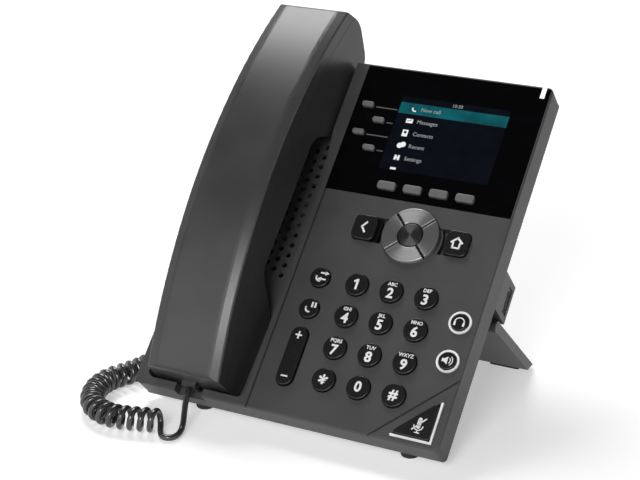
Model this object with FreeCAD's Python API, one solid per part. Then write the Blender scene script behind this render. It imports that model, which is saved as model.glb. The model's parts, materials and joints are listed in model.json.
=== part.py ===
"""Desk phone with a corded handset, a colour display, a full set of keys and a folding stand.

The console is drawn lying flat: x runs across, y up the face from its lower edge and z out of the
face, which is at z = 0. It is then tilted back and stood on the desk. All sizes are in millimetres.
"""
import FreeCAD
import Part
import math
import os

V = FreeCAD.Vector

# Console
TILT_DEG = 44.0
CONSOLE_WIDTH = 161.0
CONSOLE_LENGTH = 192.0
HOUSING_DEPTH = 15.0
FACE_WALL = 2.4
SIDE_WALL = 2.2
CORNER_RADIUS = 3.0
EDGE_RADIUS = 0.8
KEYPAD_FROM_RIGHT = 46.7
HANDSET_FROM_LEFT = 30.3
GROOVE_WIDTH = 1.0
GROOVE_DEPTH = 0.8
GROOVE_FROM_KEYPAD = 52.0
MUTE_GROOVE_START = 11.5

# Cradle well in the front housing
WELL_DEPTH = 11.3
WELL_FLOOR = 2.0
WELL_LOW_Y = 4.0
WELL_SIDE_GAP = 1.6
WELL_FINGER_ROOM = 4.4
WELL_FINGER_TOP_Y = 120.0
WELL_NARROW_Y = 152.0
WELL_CORNER = 4.0
NOTCH_WIDTH = 15.0
NOTCH_DEPTH = 6.0
GRILLE_PITCH = 5.65
GRILLE_HOLE_RADIUS = 1.3
GRILLE_LOW_Y = 73.0
GRILLE_ROWS = 14
GRILLE_COLUMNS = 9

# Rear cover, its port bar and the hinge lugs
COVER_DEPTH = 11.0
COVER_INSET = 8.0
COVER_WALL = 2.0
COVER_CORNER = 3.0
BAR_LOW_Y = 79.0
BAR_HEIGHT = 20.0
BAR_REACH = 9.0
BAR_LEFT_MARGIN = 8.5
BAR_RIGHT_MARGIN = 0.3
LUG_SPREAD = 58.0
LUG_WIDTH = 6.0
LUG_RADIUS = 3.6

# Display window and module
WINDOW_LOW_Y = 119.0
WINDOW_THICKNESS = 1.6
WINDOW_RIM = 1.0
WINDOW_LEDGE = 1.6
WINDOW_GAP = 0.1
LCD_WIDTH = 63.0
LCD_HEIGHT = 47.0
LCD_THICKNESS = 3.2
LCD_FROM_TOP = 39.1
LIGHT_WIDTH = 2.3
LIGHT_LENGTH = 6.5
LIGHT_FROM_KEYPAD = 42.0

# Keys
KEY_CLEARANCE = 0.3
KEY_EDGE = 0.5
KEY_HEIGHT = 1.6
KEY_TRAVEL = 1.2
FLANGE_LIP = 1.0
FLANGE_THICKNESS = 0.8
FLANGE_GAP = 0.2
STEM_RADIUS = 1.3
STEM_CLEARANCE = 0.2
DIAL_RADIUS = 5.8
DIAL_PITCH_X = 18.0
DIAL_PITCH_Y = 16.7
DIAL_TOP_Y = 71.3
FUNCTION_RADIUS = 5.1
FUNCTION_OFFSET = 37.7
ROCKER_WIDTH = 8.6
ROCKER_LENGTH = 30.3
ROCKER_Y = 29.5
ROCKER_DEPTH = 6.4
ROCKER_PIVOT_Z = -4.6
ROCKER_PIN_RADIUS = 1.0
ROCKER_PIN_LENGTH = 2.2
ROCKER_PIN_GAP = 0.08
ROCKER_END_GAP = 0.5
AUDIO_RADIUS = 4.3
AUDIO_OFFSET = 37.9
AUDIO_KEYS_Y = (62.7, 43.0)
RING_WIDTH = 1.0
RING_HEIGHT = 0.7
NAV_Y = 101.4
NAV_OUTER = 14.4
NAV_INNER = 6.5
NAV_SPLIT = 0.9
SELECT_RADIUS = 6.0
WING_OFFSET = 24.2
WING_WIDTH = 12.0
WING_HEIGHT = 13.0
WING_CORNER = 3.0
SOFT_PITCH = 13.8
SOFT_WIDTH = 9.6
SOFT_HEIGHT = 4.1
SOFT_FROM_WINDOW = 6.4
LINE_WIDTH = 6.5
LINE_HEIGHT = 2.8
LINE_PITCH = 16.0
LINE_LEFT_OFFSET = 45.4
LINE_RIGHT_OFFSET = 37.0
LINE_ABOVE_LCD = 15.6
SMALL_CORNER = 1.2
MUTE_LEG = 19.5
MUTE_RIGHT_OFFSET = 41.2
MUTE_LOW_Y = 3.8
MUTE_CORNER = 1.4

# Boards, mat, loudspeaker and jacks
BOARD_THICKNESS = 1.6
KEYPAD_BOARD_Z = -11.0
MAT_THICKNESS = 0.8
DOME_HEIGHT = 0.7
DOME_RADIUS = 2.4
BOARD_MARGIN = 5.0
POST_RADIUS = 2.2
POST_SPOTS = ((-27.0, 85.0), (27.0, 85.0), (-27.0, 12.0), (9.0, 29.5), (-44.0, 112.0))
MAIN_BOARD_UNDER_SEAM = 2.4
MAIN_POST_SPOTS = ((-47.8, 40.0), (22.2, 140.0), (-43.8, 165.0), (6.2, 55.0))
SPEAKER_RADIUS = 22.0
SPEAKER_Y = 110.0
SPEAKER_DEPTH = 9.4
MAGNET_RADIUS = 12.0
NET_JACK_WIDTH = 14.0
NET_JACK_HEIGHT = 15.4
NET_SOCKET_WIDTH = 8.2
NET_SOCKET_HEIGHT = 11.8
NET_SOCKET_DEPTH = 12.0
NET_JACKS_X = (8.0, 26.0)
MODULAR_WIDTH = 10.4
MODULAR_HEIGHT = 7.0
MODULAR_DEPTH = 13.0
MODULAR_SOCKET_WIDTH = 7.9
MODULAR_SOCKET_HEIGHT = 6.3
HEADSET_JACK_X = -12.0
POWER_JACK_X = 44.0
POWER_BORE_RADIUS = 3.1
POWER_PIN_RADIUS = 1.0
POWER_BODY = 10.0
USB_WIDTH = 13.2
USB_HEIGHT = 5.8
USB_LENGTH = 14.0
USB_SHELL = 0.5
USB_TONGUE = 1.8
USB_FROM_BACK = 5.5
JACK_GAP = 0.3

# Fasteners and feet
LEFT_SCREWS = ((14.5, 22.0), (14.5, 172.0))
RIGHT_SCREWS = ((16.5, 31.0), (11.5, 113.0))
BOSS_RADIUS = 3.2
BOSS_PAST_SEAM = 5.0
SCREW_RADIUS = 1.45
SCREW_HOLE_RADIUS = 1.5
SCREW_HEAD_RADIUS = 2.8
SCREW_HEAD_HEIGHT = 2.0
SCREW_SEAT = 2.6
SCREW_REACH = 8.0
FOOT_RADIUS = 4.5
FOOT_HEIGHT = 3.6
FEET_X = (-50.0, 60.0)
FOOT_SETBACK = 6.0

# Folding stand
HINGE_Y = 75.0
HINGE_DROP = 3.5
STAND_REACH = 70.0
STAND_LEAN_DEG = 5.7
STAND_THICKNESS = 5.0
STAND_MARGIN = 1.0
HINGE_PIN_RADIUS = 2.0
HINGE_PIN_GAP = 0.08
LUG_SLOT_GAP = 0.5
BARREL_RADIUS = 3.1
WINDOW_SPAN = 84.0
WINDOW_FROM_HINGE = 20.0
WINDOW_LENGTH = 30.0
WINDOW_CORNER = 5.0
STAND_FOOT_LENGTH = 16.0
STAND_FOOT_WIDTH = 5.0
STAND_FOOT_HEIGHT = 1.6
STAND_FEET_X = 66.0

# Handset
HANDSET_LOW_Y = 5.6
HANDSET_LENGTH = 206.4
HANDSET_WALL = 2.2
ARCH_RADIUS = 272.0
ARCH_TOP_Y = 117.8
ARCH_TOP_Z = 37.2
TOP_FLAT_HALF = 14.5
TOP_HALF = 19.6
BASE_HALF = 23.0
BEVEL_DROP = 1.6
BASE_DROP = 36.0
SHELL_SPLIT = 8.0
SHELL_SEAM = 0.15
END_RADIUS = 3.5
GRIP_UNDERSIDE_Z = 11.5
MOUTH_CUP_TOP_Y = 50.0
EAR_CUP_LOW_Y = 154.0
CUP_SLOPE = 14.0
CUP_GAP = 0.3
EAR_END_SLANT = 12.0
EAR_SHOULDER_Z = 6.0
EAR_TOP_SLANT = 8.0
MOUTH_CORNER = 7.0
CUP_CORNER = 10.0
GRIP_CORNER = 12.0
EAR_CORNER = 9.0
EAR_SHOULDER_CORNER = 12.0
RECEIVER_RADIUS = 16.0
RECEIVER_HEIGHT = 8.0
RECEIVER_Y = 178.0
MICROPHONE_RADIUS = 4.9
MICROPHONE_HEIGHT = 5.0
MICROPHONE_Y = 30.0
SOUND_HOLE_RADIUS = 1.0
SOUND_RING_RADIUS = 7.0
HANDSET_JACK_Z = -0.1

# Hook plunger
PLUNGER_Y = 160.0
PLUNGER_WIDTH = 9.0
PLUNGER_DEPTH = 5.0
PLUNGER_RISE = 3.0
PLUNGER_SHY = 0.1
PLUNGER_GAP = 0.3
PLUNGER_FLANGE = 0.9

# Cord: wire, curls and the points that its route follows. The points are on the desk in front of and
# beside the console: x from the console's centre, y back from the face's lower edge, z up from the desk.
WIRE_DIAMETER = 3.0
CURL_DIAMETER = 12.4
CURL_COUNT = 34
PLUG_WIDTH = 7.6
PLUG_HEIGHT = 6.0
PLUG_LENGTH = 11.0
PLUG_PROUD = 2.8
DESK_CLEARANCE = 0.05
CURL_AXIS = (
    (-55.5, -17.0), (-67.0, -20.5), (-81.0, -23.5), (-94.0, -17.5), (-101.5, -5.0), (-102.5, 9.0),
    (-95.5, 22.0), (-91.5, 36.0), (-91.5, 52.0), (-93.5, 70.0), (-92.0, 90.0), (-92.5, 108.0),
)
HANDSET_TAIL = ((-46.0, -11.6, 1.7), (-45.0, -19.9, 1.55), (-47.7, -22.7, 1.55), (-51.5, -22.8, 1.55))
CONSOLE_TAIL = ((-89.2, 107.0, 24.0), (-90.6, 100.5, 35.5), (-90.8, 92.8, 45.5), (-87.4, 86.6, 53.4))
HANDSET_TAIL_LEAD = 3.8
CONSOLE_TAIL_LEAD = 8.0

# Places that follow from the sizes above
HALF_WIDTH = CONSOLE_WIDTH / 2
KEYPAD_X = HALF_WIDTH - KEYPAD_FROM_RIGHT
HANDSET_X = HANDSET_FROM_LEFT - HALF_WIDTH
GROOVE_X = KEYPAD_X - GROOVE_FROM_KEYPAD
WELL_FLOOR_Z = -WELL_DEPTH
WELL_UNDER_Z = WELL_FLOOR_Z - WELL_FLOOR
WELL_LEFT_X = HANDSET_X - BASE_HALF - WELL_SIDE_GAP
WELL_RIGHT_X = HANDSET_X + BASE_HALF + WELL_SIDE_GAP
COVER_BACK_Z = -HOUSING_DEPTH - COVER_DEPTH
COVER_INNER_Z = COVER_BACK_Z + COVER_WALL
BAR_BACK_Z = COVER_BACK_Z - BAR_REACH
BAR_LEFT_X = BAR_LEFT_MARGIN - HALF_WIDTH
BAR_RIGHT_X = HALF_WIDTH - BAR_RIGHT_MARGIN
BAR_MIDDLE_Y = BAR_LOW_Y + BAR_HEIGHT / 2
JACK_MOUTH_Z = BAR_BACK_Z + COVER_WALL
USB_Z = BAR_BACK_Z + USB_FROM_BACK
SCREW_SPOTS = [(x - HALF_WIDTH, y) for x, y in LEFT_SCREWS]
SCREW_SPOTS += [(HALF_WIDTH - x, y) for x, y in RIGHT_SCREWS]
BOSS_END_Z = -HOUSING_DEPTH - BOSS_PAST_SEAM
SCREW_SEAT_Z = BOSS_END_Z - SCREW_SEAT
SCREW_TIP_Z = SCREW_SEAT_Z + SCREW_REACH
MAIN_BOARD_Z = -HOUSING_DEPTH - MAIN_BOARD_UNDER_SEAM
MAIN_BOARD_UNDER_Z = MAIN_BOARD_Z - BOARD_THICKNESS
WINDOW_UNDER_Z = -WINDOW_THICKNESS
LCD_Y = CONSOLE_LENGTH - LCD_FROM_TOP
MAT_TOP_Z = KEYPAD_BOARD_Z + MAT_THICKNESS
DOME_TOP_Z = MAT_TOP_Z + DOME_HEIGHT
STEM_END_Z = DOME_TOP_Z + KEY_TRAVEL + STEM_CLEARANCE
CUP_Z = WELL_FLOOR_Z + CUP_GAP
CUP_INNER_Z = CUP_Z + HANDSET_WALL
HANDSET_TOP_Y = HANDSET_LOW_Y + HANDSET_LENGTH
ARCH_CENTRE_Z = ARCH_TOP_Z - ARCH_RADIUS
HINGE_Z = COVER_BACK_Z - HINGE_DROP
SIN_TILT = math.sin(math.radians(TILT_DEG))
COS_TILT = math.cos(math.radians(TILT_DEG))
FACET_DROP = HOUSING_DEPTH * COS_TILT
DESK_DROP = FACET_DROP + FOOT_HEIGHT
FACET_RUN = COVER_DEPTH / SIN_TILT * COS_TILT
HELIX_RADIUS = (CURL_DIAMETER - WIRE_DIAMETER) / 2


# Drawing helpers

def box(x_low, x_high, y_low, y_high, z_low, z_high):
    """Box between two corners."""
    return Part.makeBox(x_high - x_low, y_high - y_low, z_high - z_low, V(x_low, y_low, z_low))


def post(x, y, radius, z_low, z_high):
    """Upright cylinder between two heights."""
    return Part.makeCylinder(radius, z_high - z_low, V(x, y, z_low))


def rounded_wire(corners):
    """Closed wire through (point, radius) corners, each rounded by its own radius."""
    spans = []
    for index, (point, radius) in enumerate(corners):
        back = (corners[index - 1][0] - point).normalize()
        ahead = (corners[(index + 1) % len(corners)][0] - point).normalize()
        if radius == 0:
            spans.append((point, None, point))
            continue
        half_angle = back.getAngle(ahead) / 2
        reach = radius / math.tan(half_angle)
        towards_centre = (back + ahead).normalize()
        middle = point + towards_centre * (radius / math.sin(half_angle) - radius)
        spans.append((point + back * reach, middle, point + ahead * reach))
    edges = []
    for index, (start, middle, end) in enumerate(spans):
        if middle is not None:
            edges.append(Part.Arc(start, middle, end).toShape())
        next_start = spans[(index + 1) % len(spans)][0]
        if end.distanceToPoint(next_start) > 1e-6:
            edges.append(Part.makeLine(end, next_start))
    return Part.Wire(edges)


def plate(corners, z_low, z_high):
    """Flat plate with a rounded outline; corners are ((x, y), radius)."""
    outline = [(V(x, y, z_low), radius) for (x, y), radius in corners]
    return Part.Face(rounded_wire(outline)).extrude(V(0, 0, z_high - z_low))


def rounded_plate(x, y, width, height, radius, z_low, z_high):
    """Plate with a rounded rectangular outline, centred on x, y."""
    half_w = width / 2
    half_h = height / 2
    corners = [((x - half_w, y - half_h), radius), ((x + half_w, y - half_h), radius),
               ((x + half_w, y + half_h), radius), ((x - half_w, y + half_h), radius)]
    return plate(corners, z_low, z_high)


def edges_at_height(shape, z):
    """Edges that lie wholly at one height."""
    return [edge for edge in shape.Edges
            if abs(edge.BoundBox.ZMin - z) < 1e-4 and abs(edge.BoundBox.ZMax - z) < 1e-4]


def stand_up(shape):
    """Tilt a shape drawn flat and stand it with the desk at z = 0."""
    shape = shape.copy()
    shape.rotate(V(0, 0, 0), V(1, 0, 0), TILT_DEG)
    shape.translate(V(0, 0, DESK_DROP))
    return shape


def stand_up_point(x, y, z):
    """Where a point drawn flat comes to stand."""
    return V(x, y * COS_TILT - z * SIN_TILT, y * SIN_TILT + z * COS_TILT + DESK_DROP)


# Key outlines. Each gives the solid between two heights, with its outline grown by some amount.

def disc(x, y, radius):
    """Round outline."""
    return lambda grow, z_low, z_high: post(x, y, radius + grow, z_low, z_high)


def bar_shape(x, y, width, height, corner):
    """Rounded rectangular outline."""
    return lambda grow, z_low, z_high: rounded_plate(
        x, y, width + 2 * grow, height + 2 * grow, corner + grow, z_low, z_high)


def arrow_shape(direction_deg):
    """Quarter of the ring round the select key, split on the diagonals."""
    def solid(grow, z_low, z_high):
        centre = V(KEYPAD_X, NAV_Y, 0)
        ring = post(KEYPAD_X, NAV_Y, NAV_OUTER + grow, z_low, z_high)
        ring = ring.cut(post(KEYPAD_X, NAV_Y, NAV_INNER, z_low, z_high))
        ring.rotate(centre, V(0, 0, 1), direction_deg + 180)
        reach = 2 * NAV_OUTER
        wedge = [((0, 0), 0), ((reach, -reach), 0), ((reach, reach), 0)]
        quarter = plate(wedge, z_low, z_high)
        quarter.translate(centre + V(NAV_SPLIT / math.sqrt(2), 0, 0))
        quarter.rotate(centre, V(0, 0, 1), direction_deg)
        return ring.common(quarter)
    return solid


def mute_shape(grow, z_low, z_high):
    """Right-angled triangle whose legs follow the console's right and lower edges."""
    right = KEYPAD_X + MUTE_RIGHT_OFFSET + grow
    low = MUTE_LOW_Y - grow
    leg = MUTE_LEG + grow * (2 + math.sqrt(2))
    corners = [((right - leg, low), MUTE_CORNER), ((right, low), MUTE_CORNER), ((right, low + leg), MUTE_CORNER)]
    return plate(corners, z_low, z_high)


def key_table():
    """Every pressed key: name, outline, stem place, height and the underside that holds its flange."""
    table = []
    under_face = -FACE_WALL
    rows = (("1", "2", "3"), ("4", "5", "6"), ("7", "8", "9"), ("star", "0", "hash"))
    for row, names in enumerate(rows):
        for column, name in enumerate(names):
            x = KEYPAD_X + (column - 1) * DIAL_PITCH_X
            y = DIAL_TOP_Y - row * DIAL_PITCH_Y
            table.append(("key_" + name, disc(x, y, DIAL_RADIUS), (x, y), KEY_HEIGHT, under_face))
    for row, name in enumerate(("transfer_key", "hold_key")):
        x = KEYPAD_X - FUNCTION_OFFSET
        y = DIAL_TOP_Y - row * DIAL_PITCH_Y
        table.append((name, disc(x, y, FUNCTION_RADIUS), (x, y), KEY_HEIGHT, under_face))
    for name, y in zip(("headset_key", "speaker_key"), AUDIO_KEYS_Y):
        x = KEYPAD_X + AUDIO_OFFSET
        table.append((name, disc(x, y, AUDIO_RADIUS), (x, y), KEY_HEIGHT, under_face))
    arm = (NAV_OUTER + NAV_INNER) / 2
    arrows = (("nav_right", 0), ("nav_up", 90), ("nav_left", 180), ("nav_down", 270))
    for name, direction in arrows:
        x = KEYPAD_X + arm * math.cos(math.radians(direction))
        y = NAV_Y + arm * math.sin(math.radians(direction))
        table.append((name, arrow_shape(direction), (x, y), KEY_HEIGHT, under_face))
    for name, side in (("back_key", -1), ("home_key", 1)):
        x = KEYPAD_X + side * WING_OFFSET
        shape = bar_shape(x, NAV_Y, WING_WIDTH, WING_HEIGHT, WING_CORNER)
        table.append((name, shape, (x, NAV_Y), KEY_HEIGHT, under_face))
    for index in range(4):
        x = KEYPAD_X + (index - 1.5) * SOFT_PITCH
        y = WINDOW_LOW_Y + SOFT_FROM_WINDOW
        shape = bar_shape(x, y, SOFT_WIDTH, SOFT_HEIGHT, SMALL_CORNER)
        table.append(("soft_key_%d" % (index + 1), shape, (x, y), KEY_HEIGHT, WINDOW_UNDER_Z))
    for index in range(4):
        x = KEYPAD_X - (LINE_RIGHT_OFFSET if index % 2 else LINE_LEFT_OFFSET)
        y = LCD_Y + LINE_ABOVE_LCD - index * LINE_PITCH / 2
        shape = bar_shape(x, y, LINE_WIDTH, LINE_HEIGHT, SMALL_CORNER)
        table.append(("line_key_%d" % (index + 1), shape, (x, y), KEY_HEIGHT, WINDOW_UNDER_Z))
    mute_x = KEYPAD_X + MUTE_RIGHT_OFFSET - MUTE_LEG / 3
    mute_y = MUTE_LOW_Y + MUTE_LEG / 3
    table.append(("mute_key", mute_shape, (mute_x, mute_y), KEY_HEIGHT, under_face))
    return table


def pressed_key(outline, stem_place, height, under_z):
    """Key cap with a flange under the face and a stem that reaches for its dome."""
    flange_top = under_z - FLANGE_GAP
    flange_low = flange_top - FLANGE_THICKNESS
    cap = outline(0, flange_low, height)
    cap = cap.makeFillet(KEY_EDGE, edges_at_height(cap, height))
    cap = cap.fuse(outline(FLANGE_LIP, flange_low, flange_top))
    stem = post(stem_place[0], stem_place[1], STEM_RADIUS, STEM_END_Z, flange_low)
    return cap.fuse(stem).removeSplitter()


def select_key():
    """Middle key of the arrow ring; its flange lies below the arrows' travel."""
    flange_top = -FACE_WALL - FLANGE_GAP - FLANGE_THICKNESS - KEY_TRAVEL - FLANGE_GAP
    cap = post(KEYPAD_X, NAV_Y, SELECT_RADIUS, flange_top - FLANGE_THICKNESS, KEY_HEIGHT)
    cap = cap.makeFillet(KEY_EDGE, edges_at_height(cap, KEY_HEIGHT))
    flange = post(KEYPAD_X, NAV_Y, NAV_INNER + FLANGE_LIP, flange_top - FLANGE_THICKNESS, flange_top)
    stem = post(KEYPAD_X, NAV_Y, STEM_RADIUS, STEM_END_Z, flange_top - FLANGE_THICKNESS)
    return cap.fuse(flange).fuse(stem).removeSplitter()


def rocker_shape(grow, z_low, z_high):
    """Long round-ended outline of the volume rocker."""
    x = KEYPAD_X - FUNCTION_OFFSET
    end_radius = ROCKER_WIDTH / 2 + grow
    return rounded_plate(x, ROCKER_Y, ROCKER_WIDTH + 2 * grow, ROCKER_LENGTH + 2 * grow,
                         end_radius * 0.999, z_low, z_high)


def volume_rocker():
    """Rocker on two side pins, with a nub under each end."""
    x = KEYPAD_X - FUNCTION_OFFSET
    cap = rocker_shape(0, -ROCKER_DEPTH, KEY_HEIGHT)
    cap = cap.makeFillet(KEY_EDGE, edges_at_height(cap, KEY_HEIGHT))
    pin_length = ROCKER_WIDTH + 2 * ROCKER_PIN_LENGTH
    pin_start = V(x - pin_length / 2, ROCKER_Y, ROCKER_PIVOT_Z)
    pin = Part.makeCylinder(ROCKER_PIN_RADIUS, pin_length, pin_start, V(1, 0, 0))
    cap = cap.fuse(pin)
    for side in (-1, 1):
        y = ROCKER_Y + side * (ROCKER_LENGTH / 2 - ROCKER_WIDTH / 2)
        cap = cap.fuse(post(x, y, STEM_RADIUS, STEM_END_Z, -ROCKER_DEPTH))
    return cap.removeSplitter()


def rocker_lugs():
    """Two lugs under the face that carry the rocker's pins."""
    x = KEYPAD_X - FUNCTION_OFFSET
    lugs = []
    for side in (-1, 1):
        inner = x + side * (ROCKER_WIDTH / 2 + ROCKER_END_GAP)
        outer = x + side * (ROCKER_WIDTH / 2 + ROCKER_PIN_LENGTH + ROCKER_END_GAP)
        half = 2 * ROCKER_PIN_RADIUS
        low = ROCKER_PIVOT_Z - half
        lug = box(min(inner, outer), max(inner, outer), ROCKER_Y - half, ROCKER_Y + half, low, -FACE_WALL)
        bore_radius = ROCKER_PIN_RADIUS + ROCKER_PIN_GAP
        bore_start = V(x - ROCKER_WIDTH * 1.5, ROCKER_Y, ROCKER_PIVOT_Z)
        bore = Part.makeCylinder(bore_radius, ROCKER_WIDTH * 3, bore_start, V(1, 0, 0))
        lugs.append(lug.cut(bore))
    return lugs


# Front housing

def well(grow, z_low, z_high):
    """Cradle well outline, open at the console's top edge."""
    left = WELL_LEFT_X - grow
    right = WELL_RIGHT_X + grow
    wide = WELL_RIGHT_X + WELL_FINGER_ROOM + grow
    low = WELL_LOW_Y - grow
    top = CONSOLE_LENGTH + WELL_LOW_Y
    corners = [((left, low), WELL_CORNER), ((wide, low), WELL_CORNER), ((wide, WELL_FINGER_TOP_Y), 0),
               ((right, WELL_NARROW_Y), 0), ((right, top), 0), ((left, top), 0)]
    return plate(corners, z_low, z_high)


def grille_holes():
    """Staggered round holes in the cradle floor over the loudspeaker."""
    holes = []
    column_step = GRILLE_PITCH * math.sqrt(3) / 2
    for column in range(GRILLE_COLUMNS):
        x = HANDSET_X + (column - (GRILLE_COLUMNS - 1) / 2) * column_step
        shift = GRILLE_PITCH / 2 if column % 2 else 0
        for row in range(GRILLE_ROWS - column % 2):
            y = GRILLE_LOW_Y + shift + row * GRILLE_PITCH
            holes.append(post(x, y, GRILLE_HOLE_RADIUS, WELL_UNDER_Z, WELL_FLOOR_Z))
    return holes


def window_outline(shrink, z_low, z_high):
    """Display window area, which runs to the console's right and top edges."""
    left = GROOVE_X - GROOVE_WIDTH / 2 + shrink
    right = HALF_WIDTH - WINDOW_RIM - shrink
    top = CONSOLE_LENGTH - WINDOW_RIM - shrink
    return box(left, right, WINDOW_LOW_Y + shrink, top, z_low, z_high)


def message_light_space(grow, z_low, z_high):
    """Strip at the top right corner for the message light."""
    x = KEYPAD_X + LIGHT_FROM_KEYPAD
    half = LIGHT_WIDTH / 2 + grow
    low = CONSOLE_LENGTH - LIGHT_LENGTH - grow
    return box(x - half, x + half, low, CONSOLE_LENGTH, z_low, z_high)


def audio_ring(y, grow, z_low, z_high):
    """Light ring round one of the audio keys."""
    x = KEYPAD_X + AUDIO_OFFSET
    inner = AUDIO_RADIUS + KEY_CLEARANCE - grow
    outer = AUDIO_RADIUS + KEY_CLEARANCE + RING_WIDTH + grow
    return post(x, y, outer, z_low, z_high).cut(post(x, y, inner, z_low, z_high))


def mute_light(grow, z_low, z_high):
    """L-shaped light along the mute key's right and lower legs."""
    right = KEYPAD_X + MUTE_RIGHT_OFFSET + KEY_CLEARANCE
    low = MUTE_LOW_Y - KEY_CLEARANCE
    edge = RING_WIDTH + grow
    lower = box(right - MUTE_LEG, right + edge, low - edge, low + grow, z_low, z_high)
    upright = box(right - grow, right + edge, low - edge, low + MUTE_LEG, z_low, z_high)
    return lower.fuse(upright).removeSplitter()


def front_housing(keys):
    """Moulded face with its side walls, cradle, key holes, grooves, posts and bosses."""
    shell = rounded_plate(0, CONSOLE_LENGTH / 2, CONSOLE_WIDTH, CONSOLE_LENGTH, CORNER_RADIUS, -HOUSING_DEPTH, 0)
    shell = shell.makeFillet(EDGE_RADIUS, edges_at_height(shell, 0))
    inner = rounded_plate(0, CONSOLE_LENGTH / 2, CONSOLE_WIDTH - 2 * SIDE_WALL, CONSOLE_LENGTH - 2 * SIDE_WALL,
                          CORNER_RADIUS - SIDE_WALL / 2, -HOUSING_DEPTH, -FACE_WALL)
    limits = box(-HALF_WIDTH, HALF_WIDTH, 0, CONSOLE_LENGTH - SIDE_WALL / 2, WELL_UNDER_Z, 0)
    tub = well(WELL_FLOOR, WELL_UNDER_Z, -EDGE_RADIUS).common(limits)
    shell = shell.cut(inner).fuse(tub)
    shell = shell.cut(well(0, WELL_FLOOR_Z, KEY_HEIGHT))

    additions = rocker_lugs()
    for offset, y in POST_SPOTS:
        additions.append(post(KEYPAD_X + offset, y, POST_RADIUS, KEYPAD_BOARD_Z, -FACE_WALL))
    for x, y in SCREW_SPOTS:
        top = WELL_UNDER_Z if x < WELL_RIGHT_X else -FACE_WALL
        additions.append(post(x, y, BOSS_RADIUS, BOSS_END_Z, top))
    shell = shell.fuse(additions)

    cuts = grille_holes()
    for x, y in SCREW_SPOTS:
        cuts.append(post(x, y, SCREW_HOLE_RADIUS, BOSS_END_Z, SCREW_TIP_Z + STEM_CLEARANCE))
    cuts.append(window_outline(0, WINDOW_UNDER_Z, KEY_HEIGHT))
    cuts.append(window_outline(WINDOW_LEDGE, -FACE_WALL, KEY_HEIGHT))
    cuts.append(message_light_space(WINDOW_GAP, WINDOW_UNDER_Z, KEY_HEIGHT))
    groove_top = WINDOW_LOW_Y
    groove_left = GROOVE_X - GROOVE_WIDTH / 2
    cuts.append(box(groove_left, groove_left + GROOVE_WIDTH, 0, groove_top, -GROOVE_DEPTH, KEY_HEIGHT))
    diagonal = box(-GROOVE_WIDTH / 2, GROOVE_WIDTH / 2, -CONSOLE_WIDTH, CONSOLE_WIDTH, -GROOVE_DEPTH, KEY_HEIGHT)
    diagonal.rotate(V(0, 0, 0), V(0, 0, 1), -45)
    diagonal.translate(V(KEYPAD_X + MUTE_GROOVE_START, 0, 0))
    diagonal_left = KEYPAD_X + MUTE_GROOVE_START - GROOVE_WIDTH
    right_part = box(diagonal_left, HALF_WIDTH, 0, CONSOLE_LENGTH, -GROOVE_DEPTH, KEY_HEIGHT)
    cuts.append(diagonal.common(right_part))
    for name, outline, place, height, under_z in keys:
        if under_z == -FACE_WALL:
            cuts.append(outline(KEY_CLEARANCE, -FACE_WALL, height))
    neck = 2 * WING_OFFSET
    cuts.append(rounded_plate(KEYPAD_X, NAV_Y, neck, WING_HEIGHT + 2 * KEY_CLEARANCE, 1, -FACE_WALL, KEY_HEIGHT))
    cuts.append(post(KEYPAD_X, NAV_Y, NAV_OUTER + KEY_CLEARANCE, -FACE_WALL, KEY_HEIGHT))
    cuts.append(rocker_shape(ROCKER_END_GAP, -FACE_WALL, KEY_HEIGHT))
    for y in AUDIO_KEYS_Y:
        cuts.append(audio_ring(y, WINDOW_GAP, WINDOW_UNDER_Z, KEY_HEIGHT))
    cuts.append(mute_light(WINDOW_GAP, WINDOW_UNDER_Z, KEY_HEIGHT))
    cuts.append(plunger_shape(PLUNGER_GAP, WELL_UNDER_Z, WELL_FLOOR_Z))
    notch_low = -NOTCH_DEPTH
    cuts.append(box(HANDSET_X - NOTCH_WIDTH / 2, HANDSET_X + NOTCH_WIDTH / 2, 0, WELL_LOW_Y, notch_low, KEY_HEIGHT))
    return shell.cut(cuts).removeSplitter()


# Rear cover

def tapered_block(wall, z_low, z_high, z_outline):
    """Block that tapers from the housing's outline to the flat back; the lower facet is level on the desk."""
    sections = []
    for z in (z_outline, z_low):
        depth = -HOUSING_DEPTH - z
        side = COVER_INSET * depth / COVER_DEPTH
        facet = FACET_RUN * depth / COVER_DEPTH
        left = -HALF_WIDTH + side + wall
        low = facet + wall
        top = CONSOLE_LENGTH - side - wall
        corners = [V(left, low, z), V(-left, low, z), V(-left, top, z), V(left, top, z), V(left, low, z)]
        sections.append(Part.makePolygon(corners))
    return Part.makeLoft(sections, True, True)


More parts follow.
